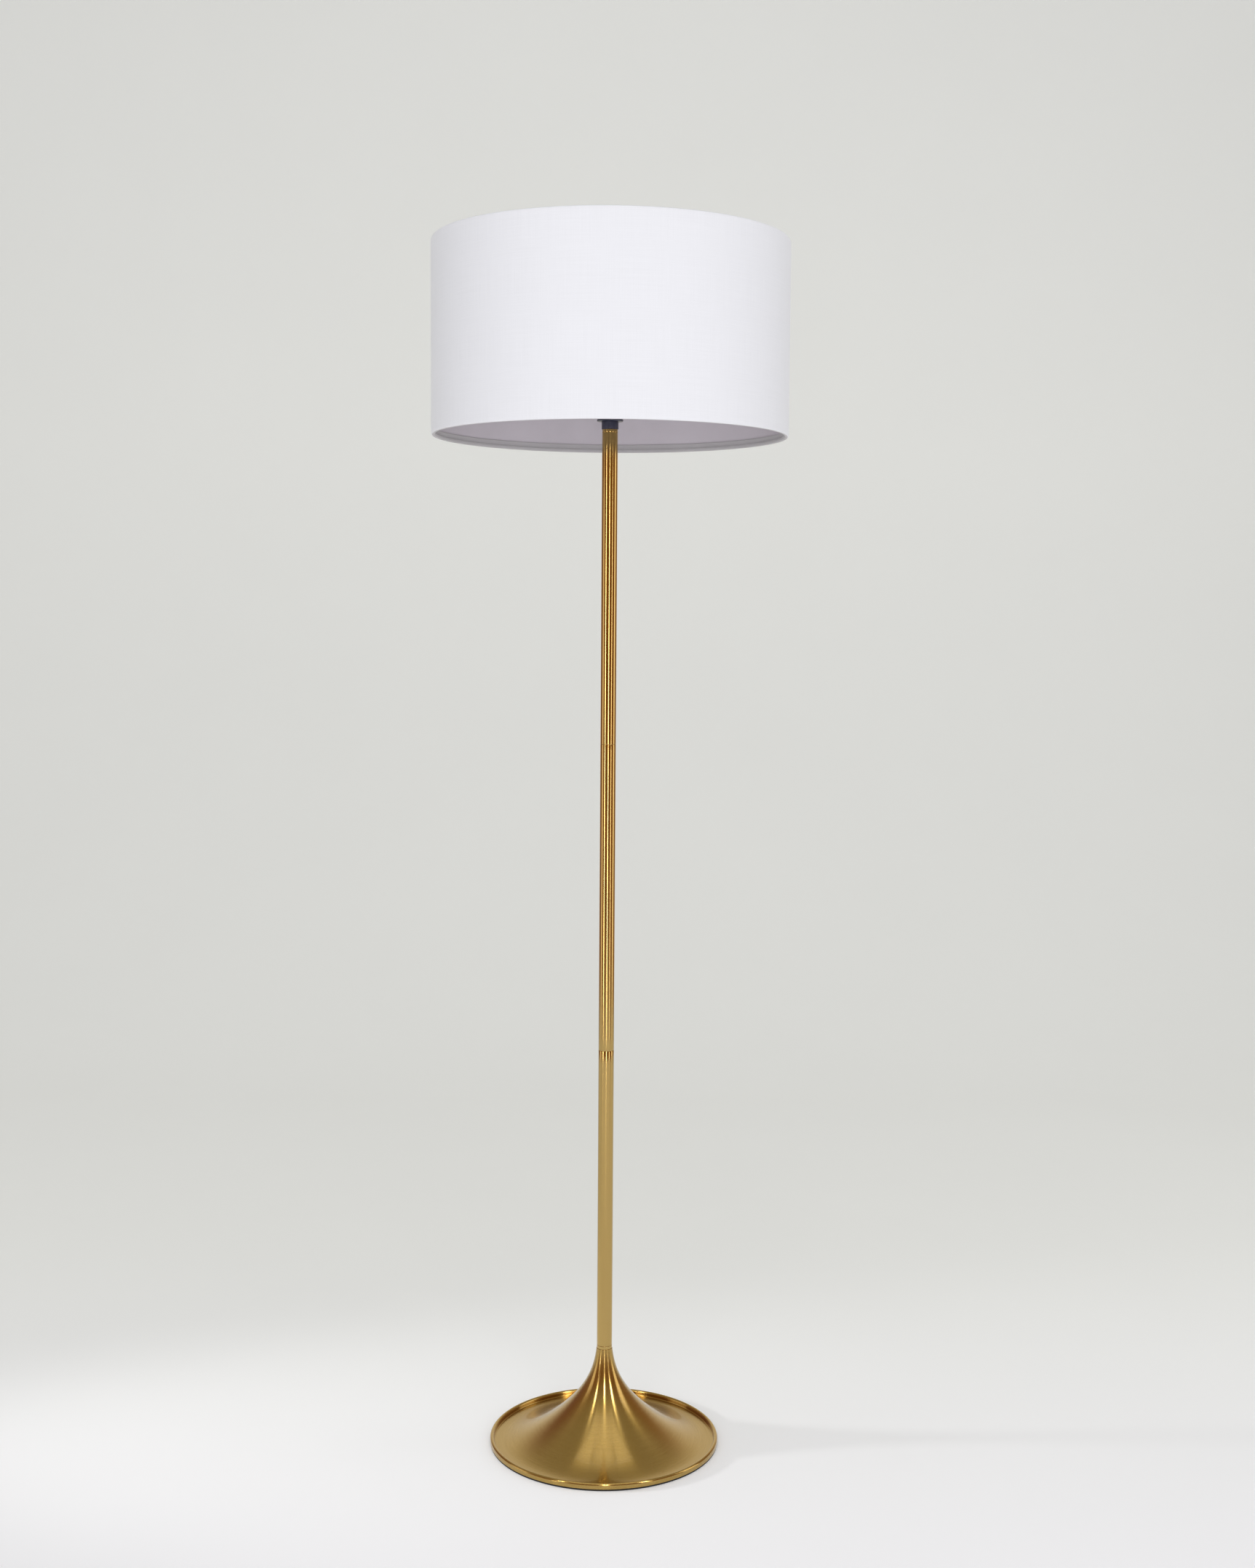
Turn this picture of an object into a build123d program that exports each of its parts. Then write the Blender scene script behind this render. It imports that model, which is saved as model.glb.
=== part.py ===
import os
from math import pi

from build123d import *

# Straight-stemmed floor lamp: spun trumpet foot, three-section tube stem, drum shade.
# Millimetres, +Z up. The origin is on the lamp's axis, on the floor. +Y is the rear.

# Overall sizes
TOTAL_H = 1550.0
SHADE_R = 225.0
SHADE_H = 240.0
BASE_R = 150.0
STEM_R = 10.0
SECTION_L = 398.0
BASE_TOP = 126.0

# Sheet, wall and clearance sizes
SHELL_T = 1.2
TUBE_WALL = 1.5
FIT = 0.05
EDGE = 0.4
TIE_R = 5.0
TIE_BORE_R = 3.5
LEAD_R = 2.8

# Heights worked out from the above
SHADE_Z = TOTAL_H - SHADE_H
JOINT_1 = BASE_TOP + SECTION_L
JOINT_2 = JOINT_1 + SECTION_L
STEM_TOP = JOINT_2 + SECTION_L
FERRULE_H = 4.2
NECK_H = 10.0
HOLDER_Z = STEM_TOP + NECK_H

# Foot: the plate's top face, its rolled lip and the flare above it
PLATE_Z = 3.2
LIP_R = 2.75
LIP_Z = 6.6
SKIRT_Z = 2.2
NECK_R = 10.5
FLARE_END_R = 134.0
FLARE_POLES = [
    (NECK_R, BASE_TOP - EDGE),
    (16.2, 74.1),
    (42.9, 50.6),
    (96.4, PLATE_Z),
    (FLARE_END_R, PLATE_Z),
]

# Parts inside the foot
PAD_T = 1.0
PLATE_T = 0.8
INNER_R = 144.3
POCKET_R = 36.0
POCKET_TOP = 40.0
WEIGHT_TOP_R = 28.0
WEIGHT_R = 112.0
WEIGHT_GAP = 1.8
WASHER_T = 1.6
LOCK_T = 1.2
NUT_T = 4.0
NUT_AF = 14.0
SCREW_CIRCLE_R = 60.0
BUSH_Z = 15.0
BUSH_R = 5.5
BUSH_BORE_R = 3.4
BUSH_IN = 62.0
BUSH_OUT = 108.0
BLOCK = (16.0, 20.0, 14.0)
BLOCK_X = -25.0
LEAD_Z = 11.0
LEAD_BEND = 14.0

# Lampholder
NECK_OUT_R = 10.6
FLANGE_R = 16.5
CAP_R = 23.0
SHOULDER_Z = HOLDER_Z + 20.0
SLEEVE_R = 19.9
SLEEVE_TOP = HOLDER_Z + 54.0
SLEEVE_PITCH = 2.5
CORE_TOP = HOLDER_Z + 23.0
SOCKET_R = 13.5
SOCKET_TOP = HOLDER_Z + 50.0
CONTACT_Z = CORE_TOP + 1.6
CONTACT_T = 0.5
TERMINAL_X = 9.0

# Shade carrier
RING_CLEAR = 0.10
FITTER_Z = SHOULDER_Z + RING_CLEAR
FITTER_T = 1.5
FITTER_IN_R = 21.2
FITTER_OUT_R = 29.0
RING_H = 9.0
WIRE_R = 1.5
WIRE_IN = 3.1
ARM_BEND = 9.0
ARM_ANGLES = (90, 210, 330)
SKIN_T = 0.6
LINER_T = 0.5
HEM_T = 0.6
HEM_H = 11.0
HEM_ROLL = 4.4
HEM_ROLL_W = 3.8
HEM_SOFT = 1.1
GLUE_GAP = 0.02

# Bulb with a 27 mm screw cap
BULB_R = 30.0
BULB_NECK_R = 28.6
BULB_TIP_Z = CONTACT_Z + CONTACT_T + FIT
BULB_PITCH = 3.63
BULB_L = 108.0
BODY_L = 27.0
BODY_T = 2.0
GLOBE_T = 1.4
TIP_H = 1.8
INSULATOR_H = 5.0
CAP_Z = BULB_TIP_Z + TIP_H + INSULATOR_H
CAP_R_THREAD = 13.2
CAP_BORE_R = 11.6
CAP_TURNS = 5
CAP_LEAD_IN = 1.2
CAP_RIM = 1.4
CAP_END = CAP_Z + CAP_LEAD_IN + CAP_TURNS * BULB_PITCH
CAP_TOP = CAP_END + CAP_RIM
BULB_NECK_Z = CAP_TOP + BODY_L


def turned(*outline):
    """Solid turned about the lamp's axis from a closed (radius, height) outline."""
    face = make_face(Polyline(*outline, close=True))
    return revolve(Plane.XZ * face, Axis.Z)


def pipe(outer, inner, low, high):
    """Round tube on the lamp's axis."""
    return turned((inner, low), (outer, low), (outer, high), (inner, high))


def disc(radius, low, high):
    """Round bar on the lamp's axis."""
    return Pos(0, 0, low) * Cylinder(radius, high - low, align=(Align.CENTER, Align.CENTER, Align.MIN))


def brick(size, centre):
    """Rectangular block about a centre point."""
    return Pos(*centre) * Box(*size)


def cross_rod(radius, start, end, height):
    """Round bar along +Y at a height above the floor."""
    rod = Cylinder(radius, end - start, align=(Align.CENTER, Align.CENTER, Align.MIN))
    return Pos(0, start, height) * Rot(-90, 0, 0) * rod


def rounded(part, radius, size):
    """Part with its circular edges of one radius rounded."""
    edges = [e for e in part.edges().filter_by(GeomType.CIRCLE) if abs(e.radius - radius) < 0.01]
    return fillet(edges, size)


# ---- foot ----


def flare_curve():
    return Bezier(*FLARE_POLES)


def flare_inside(gap, first, last, steps):
    """Curve that follows the flare at a gap inside it, from one share of its length to another."""
    flare = flare_curve()
    points = []
    for step in range(steps + 1):
        share = first + (last - first) * step / steps
        along = flare % share
        points.append(flare @ share + Vector(along.Y, -along.X) * gap)
    return Spline(*points)


def base_shell():
    """Spun steel trumpet with a flat dish and a rolled lip, brass plated."""
    inside = flare_inside(SHELL_T, 0.02, 1.0, 14)
    top, foot = inside @ 0, inside @ 1
    lip_in = BASE_R - 2 * LIP_R
    bead_r = BASE_R - LIP_R
    corner = 1.0
    neck_edge = (NECK_R - EDGE, BASE_TOP)
    outline = [
        Line((TIE_R + FIT, BASE_TOP), neck_edge),
        ThreePointArc(neck_edge, (NECK_R - 0.3 * EDGE, BASE_TOP - 0.3 * EDGE), FLARE_POLES[0]),
        flare_curve(),
        Line(FLARE_POLES[-1], (lip_in - corner, PLATE_Z)),
        ThreePointArc(
            (lip_in - corner, PLATE_Z),
            (lip_in - 0.293 * corner, PLATE_Z + 0.293 * corner),
            (lip_in, PLATE_Z + corner),
        ),
        Line((lip_in, PLATE_Z + corner), (lip_in, LIP_Z)),
        ThreePointArc((lip_in, LIP_Z), (bead_r, LIP_Z + LIP_R), (BASE_R, LIP_Z)),
        Line((BASE_R, LIP_Z), (BASE_R, SKIRT_Z)),
        Line((BASE_R, SKIRT_Z), (BASE_R - SHELL_T, SKIRT_Z)),
        Line((BASE_R - SHELL_T, SKIRT_Z), (BASE_R - SHELL_T, LIP_Z)),
        ThreePointArc(
            (BASE_R - SHELL_T, LIP_Z),
            (bead_r, LIP_Z + LIP_R - SHELL_T),
            (lip_in + SHELL_T, LIP_Z),
        ),
        Line((lip_in + SHELL_T, LIP_Z), (lip_in + SHELL_T, foot.Y)),
        Line((lip_in + SHELL_T, foot.Y), foot),
        inside,
        Line(top, (TIE_R + FIT, top.Y)),
        Line((TIE_R + FIT, top.Y), (TIE_R + FIT, BASE_TOP)),
    ]
    shell = revolve(Plane.XZ * make_face(Curve() + outline), Axis.Z)
    return shell - cross_rod(BUSH_R + FIT, BUSH_IN, BUSH_OUT + 10, BUSH_Z)


def edge_trim():
    """Soft black strip that the rolled lip stands on."""
    inner = BASE_R - 3.6
    trim = pipe(BASE_R - 0.6, inner, 0, SKIRT_Z)
    return fillet(trim.edges().filter_by(GeomType.CIRCLE).sort_by(Axis.Z)[:2], 0.5)


def screw_spots():
    """Places of the three screws that hold the bottom plate."""
    return [Rot(0, 0, 30 + 120 * n) * Pos(SCREW_CIRCLE_R, 0, 0) for n in range(3)]


def foot_pad():
    """Felt pad under the foot, open over the screw heads."""
    pad = disc(INNER_R, 0, PAD_T)
    for spot in screw_spots():
        pad -= spot * disc(4.5, -1, PAD_T + 1)
    return pad


def base_plate():
    """Steel sheet that closes the foot from below."""
    plate = disc(INNER_R, PAD_T, PAD_T + PLATE_T)
    for spot in screw_spots():
        plate -= spot * disc(2.2, 0, PAD_T + 2)
    return plate


def plate_screws():
    """Low-headed M4 screws from the plate up into the weight."""
    screw = disc(3.5, PAD_T - 0.8, PAD_T) + disc(1.95, PAD_T, 14)
    screw -= brick((5.6, 0.9, 0.8), (0, 0, PAD_T - 0.8))
    return Compound(children=[spot * screw for spot in screw_spots()])


def counterweight():
    """Cast-iron weight that fills the flare, with a pocket for the nut and the wiring."""
    gap = SHELL_T + WEIGHT_GAP
    side = flare_inside(gap, 0.32, 0.82, 8)
    upper, lower = side @ 0, side @ 1
    low = PAD_T + PLATE_T + 0.2
    outline = [
        Line((TIE_R + FIT, upper.Y), upper),
        side,
        Line(lower, (lower.X, low)),
        Line((lower.X, low), (POCKET_R, low)),
        Line((POCKET_R, low), (POCKET_R, POCKET_TOP)),
        Line((POCKET_R, POCKET_TOP), (TIE_R + FIT, POCKET_TOP)),
        Line((TIE_R + FIT, POCKET_TOP), (TIE_R + FIT, upper.Y)),
    ]
    weight = revolve(Plane.XZ * make_face(Curve() + outline), Axis.Z)
    weight -= cross_rod(BUSH_R + 0.5, POCKET_R - 4, BUSH_OUT, BUSH_Z)
    weight -= cross_rod(BUSH_R + 3.0, BUSH_IN - 2.5, BUSH_OUT, BUSH_Z)
    for spot in screw_spots():
        weight -= spot * disc(1.98, 0, 16)
    return weight


def tie_tube():
    """Threaded M10 tube that pulls the stem down onto the foot and carries the lead."""
    return pipe(TIE_R - FIT, TIE_BORE_R, POCKET_TOP - 10, BASE_TOP + 16)


def tie_washer():
    """Flat washer between the weight and the nut."""
    return pipe(15, TIE_R + FIT, POCKET_TOP - WASHER_T, POCKET_TOP)


def tie_lock_washer():
    """Split spring washer."""
    top = POCKET_TOP - WASHER_T
    ring = pipe(8.6, TIE_R + FIT, top - LOCK_T, top)
    return ring - Pos(7, 0, top) * Rot(25, 0, 0) * Box(6, 1.0, 6)


def tie_nut():
    """Flat hexagon nut on the tie tube."""
    top = POCKET_TOP - WASHER_T - LOCK_T
    hexagon = extrude(RegularPolygon(NUT_AF / 2, 6, major_radius=False), NUT_T)
    return Pos(0, 0, top - NUT_T) * hexagon - disc(TIE_R, top - NUT_T - 1, top + 1)


def cord_bush():
    """Black bush that guides the supply cord out of the rear of the foot."""
    bush = cross_rod(BUSH_R, BUSH_IN, BUSH_OUT, BUSH_Z)
    bush = fillet(bush.edges().filter_by(GeomType.CIRCLE).sort_by(Axis.Y)[-1], 1.2)
    bush += cross_rod(BUSH_R + 2.4, BUSH_IN, BUSH_IN + 2, BUSH_Z)
    return bush - cross_rod(BUSH_BORE_R, BUSH_IN - 1, BUSH_OUT + 1, BUSH_Z)


def terminal_block():
    """Two-way terminal block in the pocket: one end takes the lead, the other the supply cord."""
    centre = (BLOCK_X, 0, LEAD_Z)
    block = brick(BLOCK, centre)
    block = fillet(block.edges().filter_by(Axis.Z), 1.0)
    for side in (-1, 1):
        for x in (BLOCK_X - 4, BLOCK_X + 4):
            block -= Pos(x, side * 5, LEAD_Z) * Cylinder(2.1, 20, align=(Align.CENTER, Align.CENTER, Align.MIN))
    return block


def terminal_block_screws():
    """Four slotted screws of the terminal block."""
    length = 5.5
    screw = Cylinder(2.0, length, align=(Align.CENTER, Align.CENTER, Align.MIN))
    screw -= Pos(0, 0, length) * Box(5, 0.6, 1.0)
    spots = [(BLOCK_X + x, y, LEAD_Z + 0.1) for x in (-4, 4) for y in (-5, 5)]
    return Compound(children=[Pos(*spot) * screw for spot in spots])


# ---- stem ----


def bored_plug(flange_low, flange_high, plug_low, plug_high):
    """Turned end bush: a flange flush with the tube and a plug inside it, tapped for the tie tube."""
    bush = pipe(STEM_R, TIE_R, flange_low, flange_high)
    bush = rounded(bush, STEM_R, 0.3)
    return bush + pipe(STEM_R - TUBE_WALL - FIT, TIE_R, plug_low, plug_high)


def stem_foot_bush():
    """End ring on the foot, with its plug up inside the lower section."""
    top = BASE_TOP + FERRULE_H
    return bored_plug(BASE_TOP, top, top, top + 18)


def stem_top_bush():
    """End ring under the lampholder, with its plug down inside the upper section."""
    low = STEM_TOP - FERRULE_H
    return bored_plug(low, STEM_TOP, low - 18, low)


def stem_tube(low, high):
    """One stem section with softened ends."""
    return rounded(pipe(STEM_R, STEM_R - TUBE_WALL, low, high), STEM_R, EDGE)


def coupler_bush(joint):
    """Tapped bush pressed into the top of the section below a joint."""
    return pipe(STEM_R - TUBE_WALL - FIT, 6.5, joint - 24, joint - 0.2)


def coupler_nipple(joint):
    """Threaded stud in the bottom of the section above a joint."""
    inner_r = STEM_R - TUBE_WALL - FIT
    stud_r = 6.45
    return turned(
        (TIE_BORE_R, joint - 20),
        (stud_r - 0.8, joint - 20),
        (stud_r, joint - 19),
        (stud_r, joint),
        (inner_r, joint),
        (inner_r, joint + 20),
        (TIE_BORE_R, joint + 20),
    )


def stem_lead():
    """Two-core lead from the terminal block, up through the stem, to the lampholder."""
    start = (BLOCK_X + BLOCK[0] / 2, 0, LEAD_Z)
    end = (0, 0, HOLDER_Z + 4)
    path = FilletPolyline(start, (0, 0, LEAD_Z), end, radius=LEAD_BEND)
    section = Plane(origin=start, z_dir=(1, 0, 0)) * Circle(LEAD_R)
    lead = sweep(section, path)
    length = path.length
    print("stem_lead: bend radius", LEAD_BEND, "length", round(length, 1))
    print("stem_lead: volume", round(lead.volume), "section x length", round(pi * LEAD_R**2 * length))
    return lead


# ---- lampholder ----


def holder_nipple():
    """Threaded M10 tube between the stem's top bush and the lampholder."""
    return pipe(TIE_R - FIT, TIE_BORE_R, STEM_TOP - 18, HOLDER_Z + 6)


def holder_neck():
    """Black collar between the stem and the lampholder."""
    neck = pipe(NECK_OUT_R, TIE_R, STEM_TOP, HOLDER_Z)
    return rounded(neck, NECK_OUT_R, 0.3)


def holder_cap():
    """Lower half of the lampholder: flange, flared side and shoulder."""
    low = HOLDER_Z
    return turned(
        (TIE_R, low),
        (FLANGE_R - 0.3, low),
        (FLANGE_R, low + 0.3),
        (FLANGE_R, low + 2.2),
        (FLANGE_R - 0.9, low + 2.8),
        (CAP_R - 0.6, low + 13),
        (CAP_R, low + 14),
        (CAP_R, SHOULDER_Z),
        (21.0, SHOULDER_Z),
        (21.0, low + 10.2),
        (19.0, low + 10.2),
        (14.0, low + 3.6),
        (TIE_R, low + 3.6),
    )


def holder_sleeve():
    """Upper half of the lampholder, threaded outside for the shade ring."""
    low = HOLDER_Z + 10.4
    skirt_r = 20.95
    outline = [(17.0, low), (skirt_r, low), (skirt_r, SHOULDER_Z - 0.1), (SLEEVE_R, SHOULDER_Z - 0.1)]
    turns = 11
    start = SHOULDER_Z + 4
    for turn in range(turns):
        z = start + turn * SLEEVE_PITCH
        outline += [(SLEEVE_R, z), (SLEEVE_R - 0.8, z + 0.7), (SLEEVE_R - 0.8, z + 1.0), (SLEEVE_R, z + 1.7)]
    outline += [(SLEEVE_R, SLEEVE_TOP - 0.8), (SLEEVE_R - 0.8, SLEEVE_TOP), (15.4, SLEEVE_TOP)]
    outline += [(15.0, SLEEVE_TOP - 0.4), (15.0, CORE_TOP + 0.2), (17.0, CORE_TOP + 0.2)]
    return turned(*outline)


def contact_slot():
    """Slot in the core for the leg of the centre contact."""
    return brick((1.4, 6.6, 8), (-6.25, 0, CORE_TOP - 1.0))


def holder_core():
    """White insulating core that carries the contacts and the terminals."""
    core = disc(16.9, HOLDER_Z + 11, CORE_TOP)
    core = rounded(core, 16.9, 0.4)
    return core - contact_slot()


def contact_shell():
    """Brass screw shell of the socket."""
    shell = pipe(SOCKET_R + 0.5, SOCKET_R, CORE_TOP, SOCKET_TOP)
    return shell + pipe(SOCKET_R + 1.0, SOCKET_R, SOCKET_TOP - 1.0, SOCKET_TOP)


def centre_contact():
    """Sprung brass leaf under the bulb's tip."""
    leaf = brick((11.0, 6.0, CONTACT_T), (-1.25, 0, CONTACT_Z + CONTACT_T / 2))
    leg_h = 4.6
    leg = brick((CONTACT_T, 6.0, leg_h), (-6.5, 0, CONTACT_Z + CONTACT_T - leg_h / 2))
    return leaf + leg


def holder_terminals():
    """Two brass terminal blocks under the core."""
    low = HOLDER_Z + 5.0
    high = HOLDER_Z + 11.0
    solids = []
    for side in (-1, 1):
        block = brick((5.6, 6.0, high - low), (side * TERMINAL_X, 0, (low + high) / 2))
        block = chamfer(block.edges().filter_by(Axis.Z), 0.6)
        screw_hole = Pos(side * TERMINAL_X, 0, 0) * disc(1.3, low - 1, low + 3)
        solids.append(block - screw_hole)
    return Compound(children=solids)


def holder_terminal_screws():
    """Slotted screws of the two terminals."""
    low = HOLDER_Z + 3.7
    screw = disc(1.25, low, low + 4.1) - brick((4, 0.5, 0.8), (0, 0, low))
    return Compound(children=[Pos(side * TERMINAL_X, 0, 0) * screw for side in (-1, 1)])


def lead_cores():
    """The lead's two insulated cores, spread to the terminals."""
    wire_r = 1.0
    low = HOLDER_Z + 4
    bend_z = HOLDER_Z + 8
    solids = []
    for side in (-1, 1):
        start = (side * 1.3, 0, low)
        reach = (side * (TERMINAL_X - 2.8), 0, bend_z)
        path = FilletPolyline(start, (side * 1.3, 0, bend_z), reach, radius=2.2)
        solids.append(sweep(Plane(origin=start, z_dir=(0, 0, 1)) * Circle(wire_r), path))
    return Compound(children=solids)


# ---- shade ----


def shade_ring():
    """Threaded ring that clamps the shade's fitter, with grip ribs round its flange."""
    low = FITTER_Z + FITTER_T + RING_CLEAR
    ring = turned(
        (SLEEVE_R + RING_CLEAR, low),
        (FITTER_OUT_R - 0.4, low),
        (FITTER_OUT_R, low + 0.4),
        (FITTER_OUT_R, low + 2.4),
        (FITTER_OUT_R - 0.4, low + 2.8),
        (23.4, low + 3.4),
        (23.0, low + RING_H - 0.4),
        (22.6, low + RING_H),
        (SLEEVE_R + RING_CLEAR, low + RING_H),
    )
    ribs = 24
    notch = Pos(FITTER_OUT_R + 0.6, 0, low) * Cylinder(1.4, 8)
    for n in range(ribs):
        ring -= Rot(0, 0, 360 / ribs * n) * notch
    return ring


def fitter_ring():
    """Flat steel ring at the centre of the shade's wire frame."""
    return pipe(FITTER_OUT_R, FITTER_IN_R, FITTER_Z, FITTER_Z + FITTER_T)


def wire_centre_r():
    return SHADE_R - WIRE_IN


def arm_r():
    """Radius at which the three arms stand beside the wire rings."""
    return wire_centre_r() - 2 * WIRE_R


def fitter_arms():
    """Three wires: up from the lower wire ring, then in to the fitter ring."""
    low = SHADE_Z + 1.0
    high = FITTER_Z - WIRE_R
    solids = []
    for angle in ARM_ANGLES:
        path = FilletPolyline((arm_r(), 0, low), (arm_r(), 0, high), (24.0, 0, high), radius=ARM_BEND)
        arm = sweep(Plane(origin=(arm_r(), 0, low), z_dir=(0, 0, 1)) * Circle(WIRE_R), path)
        solids.append(Rot(0, 0, angle) * arm)
    return Compound(children=solids)


def wire_ring(height):
    return Pos(0, 0, height) * Torus(wire_centre_r(), WIRE_R)


def shade_liner():
    """Stiff white lining that the fabric is laminated to."""
    outer = SHADE_R - SKIN_T - GLUE_GAP
    return pipe(outer, outer - LINER_T, SHADE_Z + 0.8, TOTAL_H - 0.8)


def shade_fabric():
    """Outer cloth of the drum."""
    return pipe(SHADE_R, SHADE_R - SKIN_T, SHADE_Z, TOTAL_H)


def hem(edge_z, inward):
    """Cloth edge rolled over a wire ring and turned up inside the drum."""
    outer = SHADE_R - SKIN_T - LINER_T - 2 * GLUE_GAP
    inner = outer - HEM_ROLL_W
    outline = [
        (outer, 0),
        (outer, HEM_H),
        (outer - HEM_T, HEM_H),
        (outer - HEM_T, HEM_ROLL),
        (inner + HEM_SOFT, HEM_ROLL),
        (inner, HEM_ROLL - HEM_SOFT),
        (inner, HEM_SOFT),
        (inner + HEM_SOFT, 0),
    ]
    groove = RegularPolygon(WIRE_R, 12, major_radius=False)
    roll = turned(*[(r, edge_z + inward * z) for r, z in outline])
    centre = Pos(wire_centre_r(), edge_z + inward * HEM_ROLL / 2)
    return roll - revolve(Plane.XZ * (centre * groove), Axis.Z)


def bottom_hem():
    """Lower hem, notched where the three arms leave the wire ring."""
    part = hem(SHADE_Z, 1)
    for angle in ARM_ANGLES:
        notch = Pos(arm_r(), 0, 0) * disc(WIRE_R + 0.1, SHADE_Z - 1, SHADE_Z + HEM_H + 1)
        part -= Rot(0, 0, angle) * notch
    return part


def top_hem():
    """Upper hem, whole all the way round."""
    return hem(TOTAL_H, -1)


# ---- bulb ----


def bulb_tip():
    """Centre contact of the bulb."""
    tip = disc(4.6, BULB_TIP_Z, BULB_TIP_Z + TIP_H)
    return fillet(tip.edges().filter_by(GeomType.CIRCLE).sort_by(Axis.Z)[0], 0.8)


def bulb_insulator():
    """Glass cone between the tip and the screw cap."""
    low = BULB_TIP_Z + TIP_H
    return turned((0, low), (4.6, low), (10.4, low + 4), (10.4, CAP_Z), (0, CAP_Z))


def bulb_cap():
    """Screw cap with rounded thread rings."""
    root_r = 12.3
    lines = [Line((9.8, CAP_Z), (10.4, CAP_Z)), Line((10.4, CAP_Z), (root_r, CAP_Z + CAP_LEAD_IN))]
    for turn in range(CAP_TURNS):
        z = CAP_Z + CAP_LEAD_IN + turn * BULB_PITCH
        crest = (CAP_R_THREAD, z + BULB_PITCH / 2)
        lines.append(ThreePointArc((root_r, z), crest, (root_r, z + BULB_PITCH)))
    corners = [
        (root_r, CAP_END),
        (CAP_R_THREAD, CAP_END + 0.6),
        (CAP_R_THREAD, CAP_TOP),
        (CAP_BORE_R, CAP_TOP),
        (CAP_BORE_R, CAP_Z + 1.6),
        (9.8, CAP_Z),
    ]
    lines += [Line(a, b) for a, b in zip(corners, corners[1:])]
    return revolve(Plane.XZ * make_face(Curve() + lines), Axis.Z)


def bulb_body():
    """White plastic body that widens from the cap to the globe."""
    low, waist, high = CAP_TOP, CAP_TOP + 11, BULB_NECK_Z
    neck_r, foot_r = BULB_NECK_R, CAP_BORE_R + BODY_T
    outer = Spline((foot_r, low), (19.0, waist), (neck_r, high), tangents=[(0.1, 1), (0.45, 1)])
    inner = Spline(
        (neck_r - BODY_T, high),
        (19.0 - BODY_T, waist),
        (CAP_BORE_R, low),
        tangents=[(-0.45, -1), (-0.1, -1)],
    )
    lines = [
        outer,
        Line((neck_r, high), (neck_r - BODY_T, high)),
        inner,
        Line((CAP_BORE_R, low), (foot_r, low)),
    ]
    return revolve(Plane.XZ * make_face(Curve() + lines), Axis.Z)


def bulb_led_board():
    """Aluminium disc that carries the light-emitting chips."""
    return disc(25.0, BULB_NECK_Z - 1.6, BULB_NECK_Z)


def bulb_globe():
    """Opal diffuser."""
    low = BULB_NECK_Z
    top = BULB_TIP_Z + BULB_L
    wall = GLOBE_T
    outer = Spline(
        (BULB_NECK_R, low), (BULB_R, low + 11), (21.5, top - 10), (0, top), tangents=[(0.4, 1), (-1, 0)]
    )
    inner = Spline(
        (0, top - wall),
        (20.4, top - 10.9),
        (BULB_R - wall, low + 11),
        (BULB_NECK_R - wall, low),
        tangents=[(1, 0), (-0.4, -1)],
    )
    lines = [
        outer,
        Line((0, top), (0, top - wall)),
        inner,
        Line((BULB_NECK_R - wall, low), (BULB_NECK_R, low)),
    ]
    return revolve(Plane.XZ * make_face(Curve() + lines), Axis.Z)


PARTS = {
    "base_shell": base_shell,
    "edge_trim": edge_trim,
    "foot_pad": foot_pad,
    "base_plate": base_plate,
    "plate_screws": plate_screws,
    "counterweight": counterweight,
    "tie_tube": tie_tube,
    "tie_washer": tie_washer,
    "tie_lock_washer": tie_lock_washer,
    "tie_nut": tie_nut,
    "cord_bush": cord_bush,
    "terminal_block": terminal_block,
    "terminal_block_screws": terminal_block_screws,
    "stem_foot_bush": stem_foot_bush,
    "stem_lower": lambda: stem_tube(BASE_TOP + FERRULE_H, JOINT_1),
    "coupler_bush_lower": lambda: coupler_bush(JOINT_1),
    "coupler_nipple_lower": lambda: coupler_nipple(JOINT_1),
    "stem_middle": lambda: stem_tube(JOINT_1, JOINT_2),
    "coupler_bush_upper": lambda: coupler_bush(JOINT_2),
    "coupler_nipple_upper": lambda: coupler_nipple(JOINT_2),
    "stem_upper": lambda: stem_tube(JOINT_2, STEM_TOP - FERRULE_H),
    "stem_top_bush": stem_top_bush,
    "stem_lead": stem_lead,
    "holder_nipple": holder_nipple,
    "holder_neck": holder_neck,
    "holder_cap": holder_cap,
    "holder_sleeve": holder_sleeve,
    "holder_core": holder_core,
    "contact_shell": contact_shell,
    "centre_contact": centre_contact,
    "holder_terminals": holder_terminals,
    "holder_terminal_screws": holder_terminal_screws,
    "lead_cores": lead_cores,
    "shade_ring": shade_ring,
    "fitter_ring": fitter_ring,
    "fitter_arms": fitter_arms,
    "bottom_wire": lambda: wire_ring(SHADE_Z + HEM_ROLL / 2),
    "top_wire": lambda: wire_ring(TOTAL_H - HEM_ROLL / 2),
    "shade_liner": shade_liner,
    "shade_fabric": shade_fabric,
    "bottom_hem": bottom_hem,
    "top_hem": top_hem,
    "bulb_tip": bulb_tip,
    "bulb_insulator": bulb_insulator,
    "bulb_cap": bulb_cap,
    "bulb_body": bulb_body,
    "bulb_led_board": bulb_led_board,
    "bulb_globe": bulb_globe,
}

os.makedirs("parts", exist_ok=True)
for name, build in PARTS.items():
    export_step(build(), f"parts/{name}.step")
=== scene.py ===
from math import cos, floor, pi, radians, sin

import bpy
from mathutils import Matrix, Vector, noise


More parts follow.
